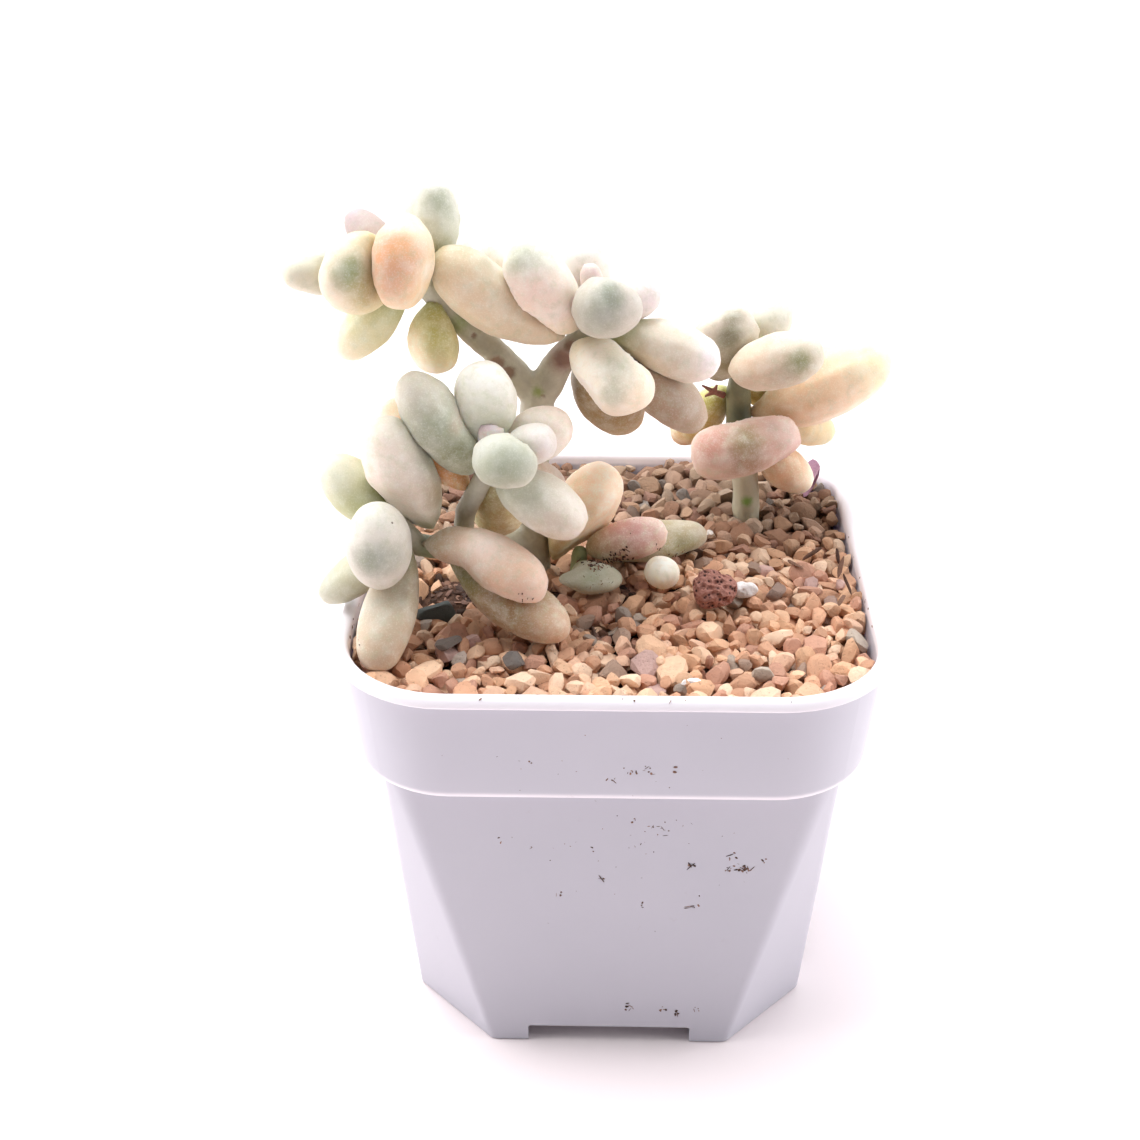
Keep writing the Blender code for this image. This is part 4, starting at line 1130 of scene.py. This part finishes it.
# On leaves: leaf, place (right, up), number, spread, and size in millimetres.
LEAF_CRUMBS = [("low_branch_leaf_2", 0.3, 0.35, 34, 0.16, 0.2),
               ("low_branch_leaf_2", 0.85, 0.0, 14, 0.15, 0.12),
               ("sprout_leaf_3", 0.15, 0.85, 46, 0.22, 0.24), ("sprout_leaf_3", 0.1, 0.1, 18, 0.5, 0.13),
               ("sprout_leaf_1", -0.25, -0.8, 46, 0.2, 0.24),
               ("sprout_leaf_1", 0.75, -0.35, 5, 0.08, 0.16), ("sprout_leaf_1", 0.2, 0.7, 6, 0.4, 0.1),
               ("sprout_leaf_2", 0.2, 0.2, 8, 0.4, 0.13), ("sprout_leaf_2", 0.5, -0.6, 5, 0.1, 0.2),
               ("trunk_leaf_1", 0.1, -0.7, 3, 0.1, 0.14), ("low_branch_leaf_1", 0.6, -0.9, 8, 0.12, 0.18),
               ("left_leaf_5", -0.9, -0.4, 6, 0.2, 0.14)]
# On the pot's front: place (x, z), number, spread across and up, and size, all in millimetres.
POT_DIRT = [(17.0, 32.1, 30, 1.3, 0.3, 0.2), (16.0, 34.0, 5, 0.5, 0.6, 0.2),
            (20.0, 33.4, 3, 0.3, 0.2, 0.2), (10.1, 32.5, 4, 0.3, 0.08, 0.3),
            (-1.2, 30.2, 3, 0.25, 0.1, 0.3), (-2.2, 35.5, 2, 0.1, 0.4, 0.22),
            (-6.4, 27.5, 3, 0.3, 0.2, 0.2), (4.2, 26.3, 3, 0.2, 0.4, 0.2), (10.9, 25.4, 7, 0.5, 0.7, 0.2),
            (3.0, 7.0, 6, 0.4, 0.4, 0.26), (7.0, 6.4, 5, 0.4, 0.3, 0.2), (9.2, 5.8, 5, 0.3, 0.3, 0.26),
            (12.1, 6.2, 4, 0.2, 0.5, 0.16), (3.6, 50.6, 14, 1.4, 0.4, 0.17),
            (7.8, 51.0, 2, 0.1, 0.3, 0.25), (-0.2, 49.1, 3, 0.3, 0.1, 0.2),
            (-9.7, 51.9, 2, 0.2, 0.2, 0.2), (2.8, 40.0, 3, 0.2, 0.2, 0.2),
            (5.4, 38.4, 14, 1.4, 0.9, 0.13), (-14.5, 36.1, 2, 0.2, 0.3, 0.16),
            (-10.3, 35.7, 2, 0.1, 0.3, 0.16), (5.0, 35.0, 34, 8.0, 7.0, 0.09),
            (2.0, 52.0, 16, 11.0, 3.0, 0.08)]
LIP_CRUMBS = 26
WALL_CRUMBS = 34                # on the inner walls, most of them at the right
DIRT_TINTS = ["5a4238", "6c5247", "7e5f53", "93705f", "46342d"]


def crumb(middle, normal, size, draw):
    """A flat or thread-like chip lying on a surface with this normal."""
    along = Matrix.Rotation(draw.uniform(0, 2 * math.pi), 3, normal) @ normal.orthogonal().normalized()
    across = normal.cross(along)
    size = size * draw.uniform(0.5, 1.3) * MM
    long = draw.choice((1.0, 1.3, 1.8, 3.2))
    narrow = 1.2 / long
    spots = []
    for spot in chip(crumb_points, draw, (long, narrow, 0.45)):
        spots.append(middle + size * (spot.x * along + spot.y * across + spot.z * normal))
    return spots, crumb_faces, list(paint(draw.choice(DIRT_TINTS)))


def pot_front(z):
    """How far the pot's front face stands out at this height."""
    if z > STEP:
        return BAND_FOOT + BAND_TAPER * (z - STEP) / BAND_HEIGHT
    return BODY_FOOT + (BODY_TOP - BODY_FOOT) * z / STEP


draw = random.Random(DIRT_SEED)
crumb_points, crumb_faces = ball_shape(1)
lumps = []
for node, right, up, number, spread, size in LEAF_CRUMBS:
    leaf = leaves[node]
    for turn in range(number):
        spot = seen_place(leaf, right + draw.gauss(0, spread), up + draw.gauss(0, spread))
        normal = (spot - leaf_middle(leaf)).normalized()
        lumps.append(crumb(spot + 0.3 * size * draw.random() * MM * normal, normal, size, draw))
for x, y, radius in SOIL_PATCHES:
    for turn in range(int(9 * radius)):
        px, py = x + draw.gauss(0, 0.45) * radius, y + draw.gauss(0, 0.45) * radius
        spot = Vector((px * MM, py * MM, bed_height(px * MM, py * MM) + 0.1 * MM))
        lumps.append(crumb(spot, Vector((0, 0, 1)), draw.uniform(0.4, 1.0), draw))
dirt = speckled("soil_dirt", 0.95, 5200, 0.1 * MM, 0.2)
soil_crumbs = heap_up("soil_crumbs", lumps, "potting_mix")
soil_crumbs.data.materials.append(dirt)

lumps = []
front = Vector((0.0, -1.0, 0.0))
for x, z, number, wide, high, size in POT_DIRT:
    for turn in range(number):
        height = (z + draw.gauss(0, high)) * MM
        spot = Vector(((x + draw.gauss(0, wide)) * MM, -pot_front(height), height))
        lumps.append(crumb(spot, front, size, draw))
for turn in range(LIP_CRUMBS):
    spot = Vector((draw.uniform(-22, 26) * MM, -LIP_HALF + draw.uniform(0.5, 1.3) * MM, RIM - 0.1 * MM))
    lumps.append(crumb(spot, Vector((0, -0.4, 0.9)), draw.choice((0.08, 0.12, 0.2)), draw))
for turn in range(WALL_CRUMBS):
    side = draw.choice((-1, 1, 1))
    spot = Vector((side * (BAND_TOP - WALL - 0.05 * MM), draw.uniform(-21, 8) * MM,
                   RIM - draw.uniform(0.3, 1.8) * MM))
    lumps.append(crumb(spot, Vector((-side, 0, 0)), draw.choice((0.12, 0.2, 0.3)), draw))
pot_dirt = heap_up("pot_dirt", lumps, "potting_mix")
pot_dirt.data.materials.append(dirt)


# ---------------------------------------------------------------- scraps on the gravel
# A withered purple leaf, splinters of dry wood, a few grey pebbles and white flecks lie loose on
# the gravel. Each is a ball cut by flat faces like a grain, pressed long, thin or round.

SCRAP_SEED = 3

# Each: place (x, y) and height above the grains in millimetres, half its length, width and
# thickness, turn and tilt in degrees, and colour.
PEBBLES = [(-22.8, -11.9, 0.1, 2.9, 1.9, 1.5, 20, 5, "565c5a"),
           (-12.0, -23.8, 0.1, 2.2, 1.4, 1.1, -30, 0, "736b66"),
           (-20.7, -20.0, 0.1, 2.0, 1.4, 1.0, 10, 8, "7e736c"),
           (21.5, -6.5, 0.0, 1.8, 1.5, 1.2, 60, 0, "8c7468")]
FLECKS = [(9.7, -29.1, 0.9, 1.1, 0.5, 0.3, 10, 0, "faf6f4"),
          (8.6, -29.3, 0.9, 0.5, 0.4, 0.3, 50, 0, "f4efed"),
          (1.0, 2.4, 0.6, 0.9, 0.6, 0.5, 0, 20, "f6f0ea"),
          (13.5, 8.0, 0.6, 0.6, 0.5, 0.4, 0, 0, "efe6de")]
WITHERED = [(28.8, 23.6, 1.4, 3.6, 1.8, 0.2, 35, 60, "b088a0"),
            (29.6, 22.8, 1.6, 2.4, 1.3, 0.2, -20, 70, "c6a0b0"),
            (27.2, 24.6, 0.9, 1.8, 0.9, 0.2, 80, 30, "8f6a7c")]
SPLINTERS = [(30.4, -3.0, 1.0, 2.6, 0.4, 0.2, 75, 20, "6b4a3a"),
             (30.8, -7.5, 1.0, 1.8, 0.3, 0.2, 110, 35, "54382c"),
             (29.6, -11.0, 0.9, 1.6, 0.35, 0.2, 60, 10, "7b5a48"),
             (27.4, 2.2, 0.9, 2.2, 0.4, 0.25, 20, 25, "5f4234"),
             (30.6, 1.5, 1.1, 1.5, 0.3, 0.2, 95, 50, "4c332a"),
             (24.6, -1.0, 0.9, 1.4, 0.4, 0.25, 140, 10, "7b5a48")]


def scrap(x, y, above, length, width, thickness, turn, tilt, tint):
    """One chip of this size, laid on the gravel."""
    lift = gravel_level(x * MM, y * MM) + above * MM
    pose = Matrix.Rotation(math.radians(turn), 3, "Z") @ Matrix.Rotation(math.radians(-tilt), 3, "Y")
    spots = []
    for spot in chip(scrap_points, draw, (length, width, thickness)):
        spots.append(Vector((x * MM, y * MM, lift)) + pose @ (spot * MM))
    return spots, scrap_faces, list(paint(tint))


draw = random.Random(SCRAP_SEED)
scrap_points, scrap_faces = ball_shape(3)
for name, pieces, slot in (("grey_pebbles", PEBBLES, "akadama"), ("white_flecks", FLECKS, "perlite"),
                           ("withered_leaf", WITHERED, "dry_stalk"),
                           ("wood_splinters", SPLINTERS, "dry_stalk")):
    heap = heap_up(name, [scrap(*piece) for piece in pieces], slot)
    heap.data.materials.append(fired_clay)


# ---------------------------------------------------------------- floor, light and camera
# A white table top in a light tent: brightest from above, dimmer near the table and dimmest from
# the front, so the pot's front face is in soft shade and the leaves are lit from above and behind.

TENT_TINT = "f7fbff"
DIM_SIDE = (0.0, -0.94, 0.34)  # the open side of the tent, in front of the pot
CAMERA_PLACE = Vector((-0.337, -187.71, 165.04)) * MM
CAMERA_LENS = 49.84
CAMERA_TURN = 0.029            # radians to the left
CAMERA_DIP = 0.510
CAMERA_ROLL = -0.006

bpy.ops.mesh.primitive_plane_add(size=6)
floor = bpy.context.object
floor.name = "floor"
table = Finish("white_table", 0.6)
table.put("Base Color", paint("fff3f3"))
floor.data.materials.append(table.material)

world = bpy.data.worlds.new("light_tent")
bpy.context.scene.world = world
world.use_nodes = True
tent = world.node_tree
tent.nodes.clear()


def tent_node(kind, settings=None, inputs=None):
    made = tent.nodes.new(kind)
    for name, value in (settings or {}).items():
        setattr(made, name, value)
    for name, value in (inputs or {}).items():
        if isinstance(value, bpy.types.NodeSocket):
            tent.links.new(value, made.inputs[name])
        else:
            made.inputs[name].default_value = value
    return made


direction = tent_node("ShaderNodeTexCoord").outputs["Generated"]
lean = tent_node("ShaderNodeVectorMath", {"operation": "DOT_PRODUCT"}, {0: direction, 1: DIM_SIDE})
bright = tent_node("ShaderNodeMapRange", {"interpolation_type": "SMOOTHSTEP"},
                   {"Value": lean.outputs["Value"], "From Min": 0.15, "From Max": 0.9, "To Min": 1.57,
                    "To Max": 0.05})
up = tent_node("ShaderNodeSeparateXYZ", None, {0: direction}).outputs["Z"]
low_dim = tent_node("ShaderNodeMapRange", {"interpolation_type": "SMOOTHSTEP"},
                    {"Value": up, "From Min": 0.0, "From Max": 0.75, "To Min": 0.35, "To Max": 1.1})
strength = tent_node("ShaderNodeMath", {"operation": "MULTIPLY"},
                     {0: bright.outputs[0], 1: low_dim.outputs[0]})
glow = tent_node("ShaderNodeBackground", None,
                 {"Color": paint(TENT_TINT), "Strength": strength.outputs[0]})
plain = tent_node("ShaderNodeBackground", None, {"Color": (1.0, 1.0, 1.0, 1.0), "Strength": 1.2})
ray = tent_node("ShaderNodeLightPath")
choice = tent_node("ShaderNodeMixShader", None, {0: ray.outputs["Is Camera Ray"], 1: glow.outputs[0],
                                                 2: plain.outputs[0]})
tent_node("ShaderNodeOutputWorld", None, {"Surface": choice.outputs[0]})

for name, place, size, power in (("top_panel", (-0.2, 0.1, 0.75), 0.6, 5.0),
                                 ("right_panel", (0.7, -0.02, 0.3), 0.5, 2.3),
                                 ("left_panel", (-0.7, -0.02, 0.3), 0.5, 2.1)):
    bpy.ops.object.light_add(type="AREA", location=place)
    lamp = bpy.context.object
    lamp.name = name
    lamp.data.size = size
    lamp.data.energy = power
    lamp.rotation_euler = (Vector((0, 0, 0.07)) - Vector(place)).to_track_quat("-Z", "Y").to_euler()

bpy.ops.object.camera_add()
camera = bpy.context.object
camera.data.sensor_width = 36
camera.data.lens = CAMERA_LENS
camera.data.clip_start = 0.01
aim = (Matrix.Rotation(CAMERA_TURN, 3, "Z") @ Matrix.Rotation(math.pi / 2 - CAMERA_DIP, 3, "X")
       @ Matrix.Rotation(CAMERA_ROLL, 3, "Z"))
camera.matrix_world = Matrix.Translation(CAMERA_PLACE) @ aim.to_4x4()
bpy.context.scene.camera = camera
bpy.context.scene.view_settings.view_transform = "Standard"
